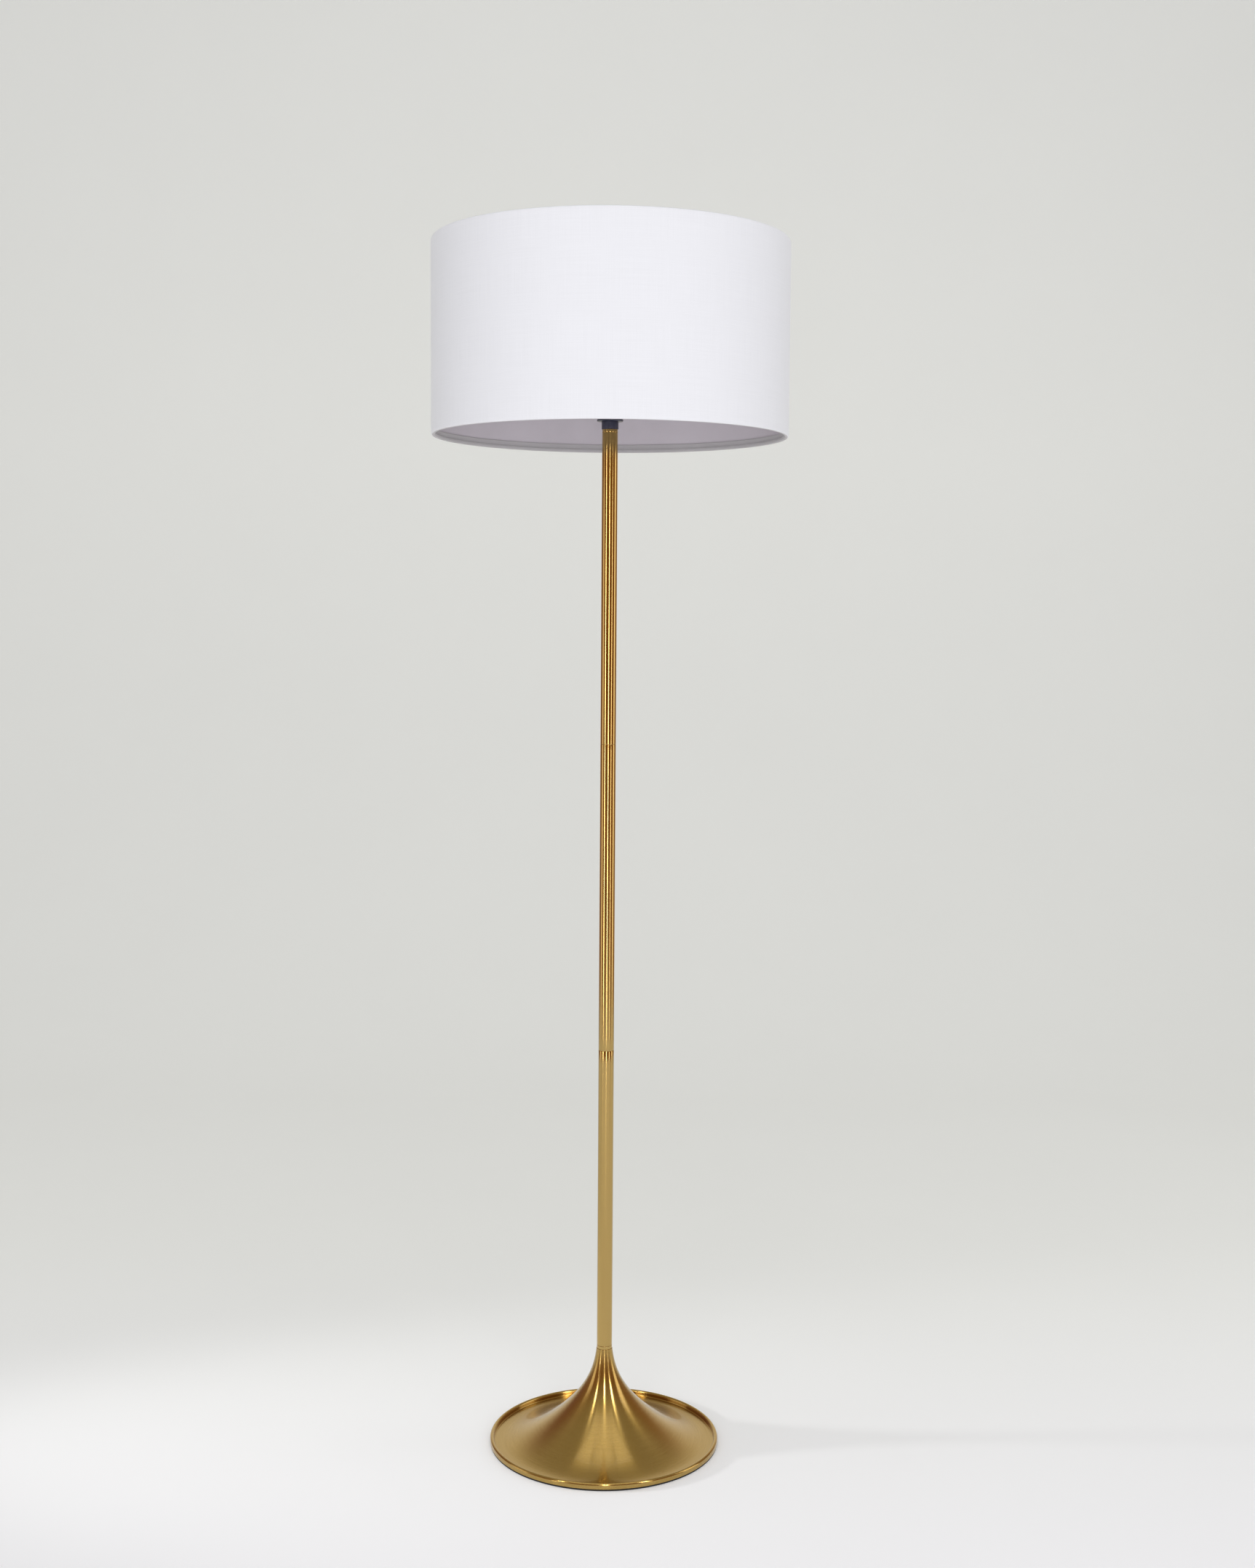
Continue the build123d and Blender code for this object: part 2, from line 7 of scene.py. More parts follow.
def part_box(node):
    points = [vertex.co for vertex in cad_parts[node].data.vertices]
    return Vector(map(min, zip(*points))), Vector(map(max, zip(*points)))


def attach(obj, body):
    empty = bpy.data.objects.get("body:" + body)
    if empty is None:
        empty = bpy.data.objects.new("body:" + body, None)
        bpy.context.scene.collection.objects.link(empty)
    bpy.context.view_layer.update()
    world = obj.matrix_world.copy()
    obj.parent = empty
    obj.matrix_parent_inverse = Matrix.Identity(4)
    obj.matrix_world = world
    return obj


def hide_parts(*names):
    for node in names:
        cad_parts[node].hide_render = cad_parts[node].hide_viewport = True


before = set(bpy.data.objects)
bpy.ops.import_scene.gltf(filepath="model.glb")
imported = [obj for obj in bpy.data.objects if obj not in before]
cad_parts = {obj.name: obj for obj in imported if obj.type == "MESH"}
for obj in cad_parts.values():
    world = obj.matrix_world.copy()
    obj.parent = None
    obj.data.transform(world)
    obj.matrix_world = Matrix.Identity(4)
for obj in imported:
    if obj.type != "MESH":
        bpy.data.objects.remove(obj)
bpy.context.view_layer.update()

bl_info = {
    "name": "Drum Shade Floor Lamp",
    "version": (1, 0, 0),
    "blender": (4, 5, 0),
    "location": "View3D > Sidebar > Lamp",
    "description": "Dresses a brass floor lamp with a cloth drum shade, piece by piece",
    "category": "Object",
}

MM = 0.001
TURN = 2 * pi


# ---- user settings ----


def linear(hex_code):
    """sRGB hex colour as linear RGBA."""
    channels = [int(hex_code[i:i + 2], 16) / 255 for i in (1, 3, 5)]
    curve = [c / 12.92 if c <= 0.04045 else ((c + 0.055) / 1.055) ** 2.4 for c in channels]
    return (*curve, 1.0)


def colour_setting(name, hex_code, about):
    return bpy.props.FloatVectorProperty(
        name=name, description=about, subtype="COLOR", size=4, min=0, max=1, default=linear(hex_code)
    )


def length_setting(name, millimetres, about):
    return bpy.props.FloatProperty(
        name=name, description=about, subtype="DISTANCE", unit="LENGTH", min=0, precision=5,
        default=millimetres * MM,
    )


class LampColours(bpy.types.PropertyGroup):
    brass: colour_setting("Brass", "#BDA062", "Brass plate of the foot and stem")
    brass_deep: colour_setting("Brass shadow", "#A5863F", "Deeper tone in the brushed lines")
    cloth: colour_setting("Shade cloth", "#E9E9EE", "Outer cloth of the drum")
    # Hem inside is painted shade: the turned-in hem band is drawn grey because it lies in shade inside the
    # drum.
    hem: colour_setting("Hem inside", "#B3B0B3", "Glued side of the cloth, seen where it is turned in")
    # Shade lining is painted shade: the white styrene sheet is drawn grey-mauve because the inside of the
    # drum lies in shade.
    lining: colour_setting("Shade lining", "#C4BEC6", "Stiff sheet inside the drum")
    floor: colour_setting("Floor", "#E8E7EA", "Studio floor near the lamp")
    wall: colour_setting("Wall", "#E4E4E1", "Studio wall and the floor behind")


class LampSizes(bpy.types.PropertyGroup):
    brush_pitch: length_setting("Brush line pitch", 0.45, "Distance between the brushed lines")
    weave_pitch: length_setting("Weave pitch", 0.9, "Distance between threads of the cloth")
    cloth_thickness: length_setting("Cloth thickness", 0.55, "Thickness of the shade cloth")
    hem_height: length_setting("Hem height", 11.0, "How far the cloth is turned up inside")
    seam_width: length_setting("Seam width", 12.0, "Overlap of the cloth at the rear")
    edge_softness: length_setting("Tube edge radius", 0.4, "Softened edge of each stem section")


def colours():
    return bpy.context.scene.lamp_colours


def sizes():
    return bpy.context.scene.lamp_sizes


# ---- mesh helpers ----


def new_object(name, vertices, faces, material, crease=radians(38)):
    """Mesh object with smooth faces and sharp edges only where the surface turns by the crease angle."""
    mesh = bpy.data.meshes.new(name)
    mesh.from_pydata(vertices, [], faces)
    mesh.validate()
    mesh.update()
    mesh.polygons.foreach_set("use_smooth", [True] * len(mesh.polygons))
    mesh.set_sharp_from_angle(angle=crease)
    piece = bpy.data.objects.new(name, mesh)
    bpy.context.scene.collection.objects.link(piece)
    mesh.materials.append(material)
    return piece


def arc(centre, radius, start, end, steps=8):
    """Points of an arc in the (radius, height) plane, angles in degrees."""
    points = []
    for step in range(steps + 1):
        angle = radians(start + (end - start) * step / steps)
        points.append((centre[0] + radius * cos(angle), centre[1] + radius * sin(angle)))
    return points


def bezier(poles, steps):
    """Points of a Bezier curve of any degree."""
    points = []
    for step in range(steps + 1):
        share = step / steps
        level = [Vector(p) for p in poles]
        while len(level) > 1:
            level = [a.lerp(b, share) for a, b in zip(level, level[1:])]
        points.append(tuple(level[0]))
    return points


def soft_corners(outline, radius, steps=5):
    """Closed (radius, height) outline in mm with each corner rounded."""
    points = []
    count = len(outline)
    for i in range(count):
        before, here, after = (Vector(outline[(i + k) % count]) for k in (-1, 0, 1))
        reach = min(radius, 0.45 * (before - here).length, 0.45 * (after - here).length)
        a = here + (before - here).normalized() * reach
        b = here + (after - here).normalized() * reach
        points += bezier([a, here, b], steps)
    return points


def lathe(name, outline, material, closed=True, segments=128, shape=None):
    """Turns a (radius, height) outline in mm about the lamp's axis.
    shape(radius, height, angle) may move a point, for ribs and threads."""
    rows = len(outline)
    vertices = []
    on_axis = [abs(r) < 1e-6 for r, _ in outline]
    index = []
    for row, (r, z) in enumerate(outline):
        if on_axis[row]:
            index.append([len(vertices)] * segments)
            vertices.append((0, 0, z * MM))
            continue
        index.append(list(range(len(vertices), len(vertices) + segments)))
        for step in range(segments):
            angle = TURN * step / segments
            rr, zz = shape(r, z, angle) if shape else (r, z)
            vertices.append((rr * cos(angle) * MM, rr * sin(angle) * MM, zz * MM))
    faces = []
    pairs = [(i, (i + 1) % rows) for i in range(rows if closed else rows - 1)]
    for low, high in pairs:
        for step in range(segments):
            after = (step + 1) % segments
            ring = [index[low][step], index[low][after], index[high][after], index[high][step]]
            face = list(dict.fromkeys(ring))
            if len(face) > 2:
                faces.append(face)
    return new_object(name, vertices, faces, material)


def rod(name, path, radius, material, sides=16):
    """Round wire in mm along a list of points, with flat ends."""
    curve = bpy.data.curves.new(name, "CURVE")
    curve.dimensions = "3D"
    curve.bevel_depth = radius * MM
    curve.bevel_resolution = sides // 4
    curve.use_fill_caps = True
    spline = curve.splines.new("POLY")
    spline.points.add(len(path) - 1)
    for point, spot in zip(spline.points, path):
        point.co = (*[c * MM for c in spot], 1)
    holder = bpy.data.objects.new(name + "_path", curve)
    bpy.context.scene.collection.objects.link(holder)
    bpy.context.view_layer.update()
    mesh = bpy.data.meshes.new_from_object(holder.evaluated_get(bpy.context.evaluated_depsgraph_get()))
    bpy.data.objects.remove(holder)
    mesh.name = name
    mesh.polygons.foreach_set("use_smooth", [True] * len(mesh.polygons))
    mesh.set_sharp_from_angle(angle=radians(50))
    mesh.materials.clear()
    mesh.materials.append(material)
    piece = bpy.data.objects.new(name, mesh)
    bpy.context.scene.collection.objects.link(piece)
    return piece


def box_mm(node):
    """Lowest and highest corner of a CAD node, in mm."""
    low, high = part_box(node)
    return low / MM, high / MM


def place(piece, body, slot, *nodes):
    """The piece rides on a body and stands for CAD nodes, which it hides. The slot is not used."""
    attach(piece, body)
    if nodes:
        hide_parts(*nodes)
    return piece


def dress(node, material):
    """A CAD node that stays gets a finished material."""
    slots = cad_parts[node].data.materials
    slots.clear()
    slots.append(material)


# ---- material helpers ----

# Two noises added together mostly stay between these values.
NOISE_LOW, NOISE_HIGH = 0.7, 1.3
BRUSH_DRIFT = 2.2
GRAIN_MM = 0.8

def add(tree, kind, settings=None, **links):
    """Adds a shader node. Settings are attributes, or inputs by name or number.
    Links join sockets to inputs, given by name or as i0, i1 and so on."""
    node = tree.nodes.new(kind)
    for key, value in (settings or {}).items():
        if isinstance(key, str) and hasattr(node, key):
            setattr(node, key, value)
        else:
            node.inputs[key].default_value = value
    for key, socket in links.items():
        numbered = key[0] == "i" and key[1:].isdigit()
        target = int(key[1:]) if numbered else key.replace("_", " ")
        tree.links.new(socket, node.inputs[target])
    return node


def new_material(name, **settings):
    """Empty material with one Principled shader, whose sockets are given by name."""
    material = bpy.data.materials.new(name)
    material.use_nodes = True
    shader = material.node_tree.nodes["Principled BSDF"]
    for key, value in settings.items():
        shader.inputs[key.replace("_", " ")].default_value = value
    return material, material.node_tree, shader


def spun_coordinates(tree, lines_per_metre, along):
    """Coordinates that change quickly up the profile and slowly round the axis, as lathe lines do."""
    place_in = add(tree, "ShaderNodeTexCoord").outputs["Object"]
    parts = add(tree, "ShaderNodeSeparateXYZ", i0=place_in)
    flat = add(tree, "ShaderNodeCombineXYZ", X=parts.outputs["X"], Y=parts.outputs["Y"])
    distance = add(tree, "ShaderNodeVectorMath", {"operation": "LENGTH"}, i0=flat.outputs[0])
    round_it = add(tree, "ShaderNodeVectorMath", {"operation": "NORMALIZE"}, i0=flat.outputs[0])
    turned = add(tree, "ShaderNodeVectorMath", {"operation": "SCALE", "Scale": along}, i0=round_it.outputs[0])
    split = add(tree, "ShaderNodeSeparateXYZ", i0=turned.outputs[0])
    climb = add(tree, "ShaderNodeMath", {"operation": "SUBTRACT"},
                i0=parts.outputs["Z"], i1=distance.outputs["Value"])
    fine = add(tree, "ShaderNodeMath", {"operation": "MULTIPLY", 1: lines_per_metre}, i0=climb.outputs[0])
    return add(tree, "ShaderNodeCombineXYZ", X=split.outputs["X"], Y=split.outputs["Y"],
               Z=fine.outputs[0]).outputs[0]


def brushed_brass(name, roughness, stretch, texture, relief):
    """Brass plate, turned or brushed round its axis and lacquered. The lines run round, so each lamp
    or window shows as a long narrow streak down the piece, and the lacquer adds small sharp glints.
    The lines are 0.05 mm apart on the real piece and are drawn coarser, so that they show.
    Texture is how strong the lines' colour is, and relief how deep they are."""
    material, tree, shader = new_material(
        name, Metallic=1.0, Roughness=roughness, Anisotropic=stretch, Anisotropic_Rotation=0.25,
        Coat_Weight=0.25, Coat_Roughness=0.04,
    )
    where = spun_coordinates(tree, 1 / sizes().brush_pitch, BRUSH_DRIFT)
    lines = add(tree, "ShaderNodeTexNoise", {"Scale": 1.0, "Detail": 3.0, "Roughness": 0.65}, Vector=where)
    grain = add(tree, "ShaderNodeTexNoise", {"Scale": 1 / (GRAIN_MM * MM), "Detail": 2.0},
                Vector=add(tree, "ShaderNodeTexCoord").outputs["Object"])
    both = add(tree, "ShaderNodeMath", {"operation": "ADD"}, i0=lines.outputs["Fac"], i1=grain.outputs["Fac"])
    span = {"From Min": NOISE_LOW, "From Max": NOISE_HIGH}
    tone = add(tree, "ShaderNodeMapRange", {**span, "To Max": texture}, Value=both.outputs[0])
    mix = add(tree, "ShaderNodeMix", {"data_type": "RGBA", 6: colours().brass, 7: colours().brass_deep},
              i0=tone.outputs[0])
    tree.links.new(mix.outputs[2], shader.inputs["Base Color"])
    rough = add(tree, "ShaderNodeMapRange", {**span, "To Min": roughness * 0.95, "To Max": roughness * 1.05},
                Value=both.outputs[0])
    tree.links.new(rough.outputs[0], shader.inputs["Roughness"])
    if relief:
        bump = add(tree, "ShaderNodeBump", {"Strength": relief, "Distance": 0.02 * MM},
                   Height=both.outputs[0])
        tree.links.new(bump.outputs[0], shader.inputs["Normal"])
    tangent = add(tree, "ShaderNodeTangent", {"direction_type": "RADIAL", "axis": "Z"})
    tree.links.new(tangent.outputs[0], shader.inputs["Tangent"])
    return material


def woven_cloth():
    """Cotton-look shade cloth in plain weave. Fine crossed threads break up the light, with a few
    thicker ones, and a little sheen softens the edges. Threads are drawn at about twice their size.
    The turned-in hem band is painted grey, darker than the cloth, as painted shade."""
    material, tree, shader = new_material(
        "woven_cotton_cloth", Roughness=0.92, Sheen_Weight=0.25, Sheen_Roughness=0.5,
        Specular_IOR_Level=0.25,
    )
    pitch = sizes().weave_pitch
    radius = box_mm("shade_fabric")[1].x * MM
    spot = add(tree, "ShaderNodeSeparateXYZ", i0=add(tree, "ShaderNodeTexCoord").outputs["Object"])
    angle = add(tree, "ShaderNodeMath", {"operation": "ARCTAN2"}, i0=spot.outputs["Y"], i1=spot.outputs["X"])
    across = add(tree, "ShaderNodeMath", {"operation": "MULTIPLY", 1: floor(TURN * radius / pitch)},
                 i0=angle.outputs[0])
    up = add(tree, "ShaderNodeMath", {"operation": "MULTIPLY", 1: TURN / pitch}, i0=spot.outputs["Z"])
    warp = add(tree, "ShaderNodeMath", {"operation": "SINE"}, i0=across.outputs[0])
    weft = add(tree, "ShaderNodeMath", {"operation": "SINE"}, i0=up.outputs[0])
    crossing = add(tree, "ShaderNodeMath", {"operation": "MULTIPLY"}, i0=warp.outputs[0], i1=weft.outputs[0])
    threads = add(tree, "ShaderNodeCombineXYZ", X=across.outputs[0], Y=up.outputs[0])
    thick_threads = []
    for stretch in ((0.16, 0.002, 1), (0.002, 0.16, 1)):
        drawn = add(tree, "ShaderNodeVectorMath", {"operation": "MULTIPLY", 1: stretch},
                    i0=threads.outputs[0])
        slubs = add(tree, "ShaderNodeTexNoise", {"Scale": 1.0, "Detail": 2.0}, Vector=drawn.outputs[0])
        thick_threads.append(slubs.outputs["Fac"])
    slub = add(tree, "ShaderNodeMath", {"operation": "ADD"}, i0=thick_threads[0], i1=thick_threads[1])
    height = add(tree, "ShaderNodeMath", {"operation": "MULTIPLY_ADD", 1: 1.6},
                 i0=slub.outputs[0], i2=crossing.outputs[0])
    tint = add(tree, "ShaderNodeMapRange",
               {"From Min": NOISE_LOW, "From Max": NOISE_HIGH, "To Min": 0.965, "To Max": 1.0},
               Value=slub.outputs[0])
    flat = add(tree, "ShaderNodeCombineXYZ", X=spot.outputs["X"], Y=spot.outputs["Y"])
    reach = add(tree, "ShaderNodeVectorMath", {"operation": "LENGTH"}, i0=flat.outputs[0])
    # Painted shade: cloth lying inward of the drum's wall, the turned-in hem band, takes the darker hem
    # colour.
    inside = add(tree, "ShaderNodeMapRange", {"From Min": radius - 2.0 * MM, "From Max": radius - 0.9 * MM},
                 Value=reach.outputs["Value"])
    sides = add(tree, "ShaderNodeMix", {"data_type": "RGBA", 6: colours().hem, 7: colours().cloth},
                i0=inside.outputs[0])
    shade = add(tree, "ShaderNodeVectorMath", {"operation": "SCALE"},
                i0=sides.outputs[2], Scale=tint.outputs[0])
    tree.links.new(shade.outputs[0], shader.inputs["Base Color"])
    bump = add(tree, "ShaderNodeBump", {"Strength": 0.18, "Distance": 0.12 * MM}, Height=height.outputs[0])
    tree.links.new(bump.outputs[0], shader.inputs["Normal"])
    return material


def smooth_lining():
    """Self-adhesive styrene sheet inside the drum: satin, nearly flat, with faint rolling marks.
    Its grey-mauve colour, darker than white styrene, is painted shade.
    """
    material, tree, shader = new_material("satin_styrene_sheet_painted_shade", Roughness=0.5, IOR=1.59)
    where = add(tree, "ShaderNodeTexCoord").outputs["Object"]
    marks = add(tree, "ShaderNodeTexNoise", {"Scale": 35.0, "Detail": 3.0}, Vector=where)
    ramp = add(tree, "ShaderNodeMapRange", {"To Min": 0.94, "To Max": 1.03}, Value=marks.outputs["Fac"])
    tone = add(tree, "ShaderNodeVectorMath", {"operation": "SCALE"}, Scale=ramp.outputs[0])
    # Painted shade: the lining colour is darker than white styrene to stand for the shade inside the drum.
    tone.inputs[0].default_value = colours().lining[:3]
    tree.links.new(tone.outputs[0], shader.inputs["Base Color"])
    bump = add(tree, "ShaderNodeBump", {"Strength": 0.06, "Distance": 0.3 * MM}, Height=marks.outputs["Fac"])
    tree.links.new(bump.outputs[0], shader.inputs["Normal"])
    return material


def moulded(name, hex_code, roughness, ior, grain_mm=0.35, depth=0.25):
    """Moulded plastic or rubber. Fine spark-eroded grain keeps the highlight soft."""
    material, tree, shader = new_material(name, Roughness=roughness, IOR=ior)
    where = add(tree, "ShaderNodeTexCoord").outputs["Object"]
    grain = add(tree, "ShaderNodeTexNoise", {"Scale": 1 / (grain_mm * MM), "Detail": 2.0}, Vector=where)
    flow = add(tree, "ShaderNodeTexNoise", {"Scale": 60.0, "Detail": 1.0}, Vector=where)
    ramp = add(tree, "ShaderNodeMapRange", {"To Min": 0.88, "To Max": 1.1}, Value=flow.outputs["Fac"])
    tone = add(tree, "ShaderNodeVectorMath", {"operation": "SCALE"}, Scale=ramp.outputs[0])
    tone.inputs[0].default_value = linear(hex_code)[:3]
    tree.links.new(tone.outputs[0], shader.inputs["Base Color"])
    wear = add(tree, "ShaderNodeMapRange", {"To Min": roughness * 0.85, "To Max": roughness * 1.15},
               Value=grain.outputs["Fac"])
    tree.links.new(wear.outputs[0], shader.inputs["Roughness"])
    bump = add(tree, "ShaderNodeBump", {"Strength": depth, "Distance": 0.03 * MM},
               Height=grain.outputs["Fac"])
    tree.links.new(bump.outputs[0], shader.inputs["Normal"])
    return material


def bare_metal(name, hex_code, roughness, grain_mm=0.5, bump_mm=0.02):
    """Plated, cast or rolled metal for the parts that hold the lamp together."""
    material, tree, shader = new_material(name, Metallic=1.0, Roughness=roughness)
    where = add(tree, "ShaderNodeTexCoord").outputs["Object"]
    grain = add(tree, "ShaderNodeTexNoise", {"Scale": 1 / (grain_mm * MM), "Detail": 4.0}, Vector=where)
    ramp = add(tree, "ShaderNodeMapRange", {"To Min": 0.82, "To Max": 1.12}, Value=grain.outputs["Fac"])
    tone = add(tree, "ShaderNodeVectorMath", {"operation": "SCALE"}, Scale=ramp.outputs[0])
    tone.inputs[0].default_value = linear(hex_code)[:3]
    tree.links.new(tone.outputs[0], shader.inputs["Base Color"])
    wear = add(tree, "ShaderNodeMapRange", {"To Min": roughness * 0.8, "To Max": roughness * 1.25},
               Value=grain.outputs["Fac"])
    tree.links.new(wear.outputs[0], shader.inputs["Roughness"])
    bump = add(tree, "ShaderNodeBump", {"Strength": 0.3, "Distance": bump_mm * MM},
               Height=grain.outputs["Fac"])
    tree.links.new(bump.outputs[0], shader.inputs["Normal"])
    return material


def needled_felt():
    """Black needled felt: matt, with short fibres that lie every way."""
    material, tree, shader = new_material(
        "needled_felt", Roughness=1.0, Sheen_Weight=0.4, Specular_IOR_Level=0.1,
    )
    where = add(tree, "ShaderNodeTexCoord").outputs["Object"]
    fibres = add(tree, "ShaderNodeTexNoise",
                 {"Scale": 1 / (1.2 * MM), "Detail": 6.0, "Distortion": 2.5}, Vector=where)
    ramp = add(tree, "ShaderNodeMapRange", {"From Min": 0.3, "From Max": 0.7, "To Min": 0.5, "To Max": 1.8},
               Value=fibres.outputs["Fac"])
    tone = add(tree, "ShaderNodeVectorMath", {"operation": "SCALE"}, Scale=ramp.outputs[0])
    tone.inputs[0].default_value = linear("#2C2C2E")[:3]
    tree.links.new(tone.outputs[0], shader.inputs["Base Color"])
    bump = add(tree, "ShaderNodeBump", {"Strength": 0.7, "Distance": 0.4 * MM}, Height=fibres.outputs["Fac"])
    tree.links.new(bump.outputs[0], shader.inputs["Normal"])
    return material


def opal_polycarbonate():
    """Opal polycarbonate globe: it scatters light inside, so it looks milky rather than painted."""
    material, tree, shader = new_material(
        "opal_polycarbonate", Roughness=0.28, IOR=1.58, Subsurface_Weight=0.4, Subsurface_Scale=2 * MM,
    )
    where = add(tree, "ShaderNodeTexCoord").outputs["Object"]
    haze = add(tree, "ShaderNodeTexNoise", {"Scale": 90.0}, Vector=where)
    ramp = add(tree, "ShaderNodeMapRange", {"To Min": 0.96, "To Max": 1.0}, Value=haze.outputs["Fac"])
    tone = add(tree, "ShaderNodeVectorMath", {"operation": "SCALE"}, Scale=ramp.outputs[0])
    tone.inputs[0].default_value = linear("#F6F5EF")[:3]
    tree.links.new(tone.outputs[0], shader.inputs["Base Color"])
    return material


def studio_paper():
    """Seamless studio paper, matt, a little lighter towards the viewer."""
    material, tree, shader = new_material("matt_studio_paper", Roughness=0.95, Specular_IOR_Level=0.1)
    where = add(tree, "ShaderNodeTexCoord").outputs["Object"]
    fibre = add(tree, "ShaderNodeTexNoise", {"Scale": 3.0, "Detail": 4.0}, Vector=where)
    ramp = add(tree, "ShaderNodeMapRange", {"To Min": 0.985, "To Max": 1.005}, Value=fibre.outputs["Fac"])
    depth = add(tree, "ShaderNodeSeparateXYZ", i0=where).outputs["Y"]
    front, rear = FLOOR_TONE_Y
    near = add(tree, "ShaderNodeMapRange",
               {"From Min": front, "From Max": rear, "interpolation_type": "SMOOTHSTEP"}, Value=depth)
    mix = add(tree, "ShaderNodeMix", {"data_type": "RGBA", 6: colours().floor, 7: colours().wall},
              i0=near.outputs[0])
    tone = add(tree, "ShaderNodeVectorMath", {"operation": "SCALE"}, i0=mix.outputs[2], Scale=ramp.outputs[0])
    tree.links.new(tone.outputs[0], shader.inputs["Base Color"])
    tree.links.new(tone.outputs[0], shader.inputs["Emission Color"])
    shader.inputs["Emission Strength"].default_value = PAPER_GLOW
    return material


# ---- foot ----

LIP_RADIUS = 2.75
SHELL = 1.2
PLATE_Z = 3.2
LIP_Z = 6.6
SKIRT_Z = 2.2
NECK_RADIUS = 10.5


def foot_outline(radius, top):
    """Closed outline of the spun foot: neck edge, flare, flat dish, rolled lip, and back inside."""
    edge = sizes().edge_softness / MM
    flare_poles = [(NECK_RADIUS, top - edge), (16.2, 74.1), (42.9, 50.6), (96.4, PLATE_Z), (134.0, PLATE_Z)]
    flare = bezier(flare_poles, 90)
    bead = radius - LIP_RADIUS
    wall = radius - 2 * LIP_RADIUS
    outer = [(5.1, top)] + arc((NECK_RADIUS - edge, top - edge), edge, 90, 5, 5) + flare
    outer += arc((wall - 1.0, PLATE_Z + 1.0), 1.0, -90, 0, 6)
    outer += arc((bead, LIP_Z), LIP_RADIUS, 180, 0, 20)
    outer += [(radius, SKIRT_Z + 0.3), (radius - 0.3, SKIRT_Z), (radius - SHELL, SKIRT_Z)]
    inner = arc((bead, LIP_Z), LIP_RADIUS - SHELL, 0, 180, 12) + [(wall + SHELL, PLATE_Z - SHELL)]
    for here, after in reversed(list(zip(flare[2::4], flare[3::4]))):
        along = (Vector(after) - Vector(here)).normalized()
        inner.append((here[0] + along.y * SHELL, here[1] - along.x * SHELL))
    return outer + inner + [(5.1, inner[-1][1])]


class LAMP_OT_foot(bpy.types.Operator):
    """Spun trumpet foot with a rolled lip"""

    bl_idname = "lamp.foot"
    bl_label = "Trumpet Foot"

    def execute(self, context):
        high = box_mm("base_shell")[1]
        brass = brushed_brass("lathe_brushed_brass_foot", 0.20, 0.95, texture=1.0, relief=0.05)
        shell = lathe("foot_shell", foot_outline(high.x, high.z), brass, segments=320)
        place(shell, "stand", "brass_foot", "base_shell")
        return {"FINISHED"}


class LAMP_OT_foot_underside(bpy.types.Operator):
    """Edge strip, felt pad, plate, screws and the bush for the supply cord"""

    bl_idname = "lamp.foot_underside"
    bl_label = "Foot Underside"

    def execute(self, context):
        rubber = moulded("moulded_soft_vinyl", "#141414", 0.7, 1.52)
        # The black edge strip is partly the foot's trim and partly stands for the contact shadow under the
        # rim, as painted shade.
        high = box_mm("edge_trim")[1]
        strip = soft_corners([(high.x - 3.0, 0), (high.x, 0), (high.x, high.z), (high.x - 3.0, high.z)], 0.6)
        place(lathe("edge_strip_and_contact_shade", strip, rubber, segments=256), "stand", "black_trim", "edge_trim")
        dress("foot_pad", needled_felt())
        zinc = bare_metal("bright_zinc_plated_steel", "#B9BDC2", 0.35)
        for node in ("base_plate", "plate_screws"):
            dress(node, zinc)
        self.cord_bush()
        return {"FINISHED"}

    def cord_bush(self):
        """Tapered bush with three grip rings, laid along +Y."""
        low, high = box_mm("cord_bush")
        bore, outer = 3.4, 5.5
        length = high.y - low.y
        outline = [(bore, 0), (7.9, 0), (7.9, 2), (outer, 2), (outer, length - 12)]
        for ring in range(3):
            start = length - 12 + ring * 3
            root = outer - 0.7
            outline += [(outer, start + 0.6), (root, start + 1.1), (root, start + 1.9), (outer, start + 2.4)]
        outline += [(outer - 0.2, length - 1.6), (outer - 1.3, length)]
        outline += [(bore + 0.6, length), (bore, length - 0.6)]
        nylon = moulded("moulded_nylon_black", "#1A1A1C", 0.45, 1.53)
        bush = lathe("cord_bush_cover", soft_corners(outline, 0.25, 3), nylon, segments=64)
        centre = (low + high) / 2
        move = Matrix.Translation((0, low.y * MM, centre.z * MM))
        bush.data.transform(move @ Matrix.Rotation(-pi / 2, 4, "X"))
        place(bush, "stand", "black_trim", "cord_bush")


# ---- stem ----

TUBE_WALL = 1.5

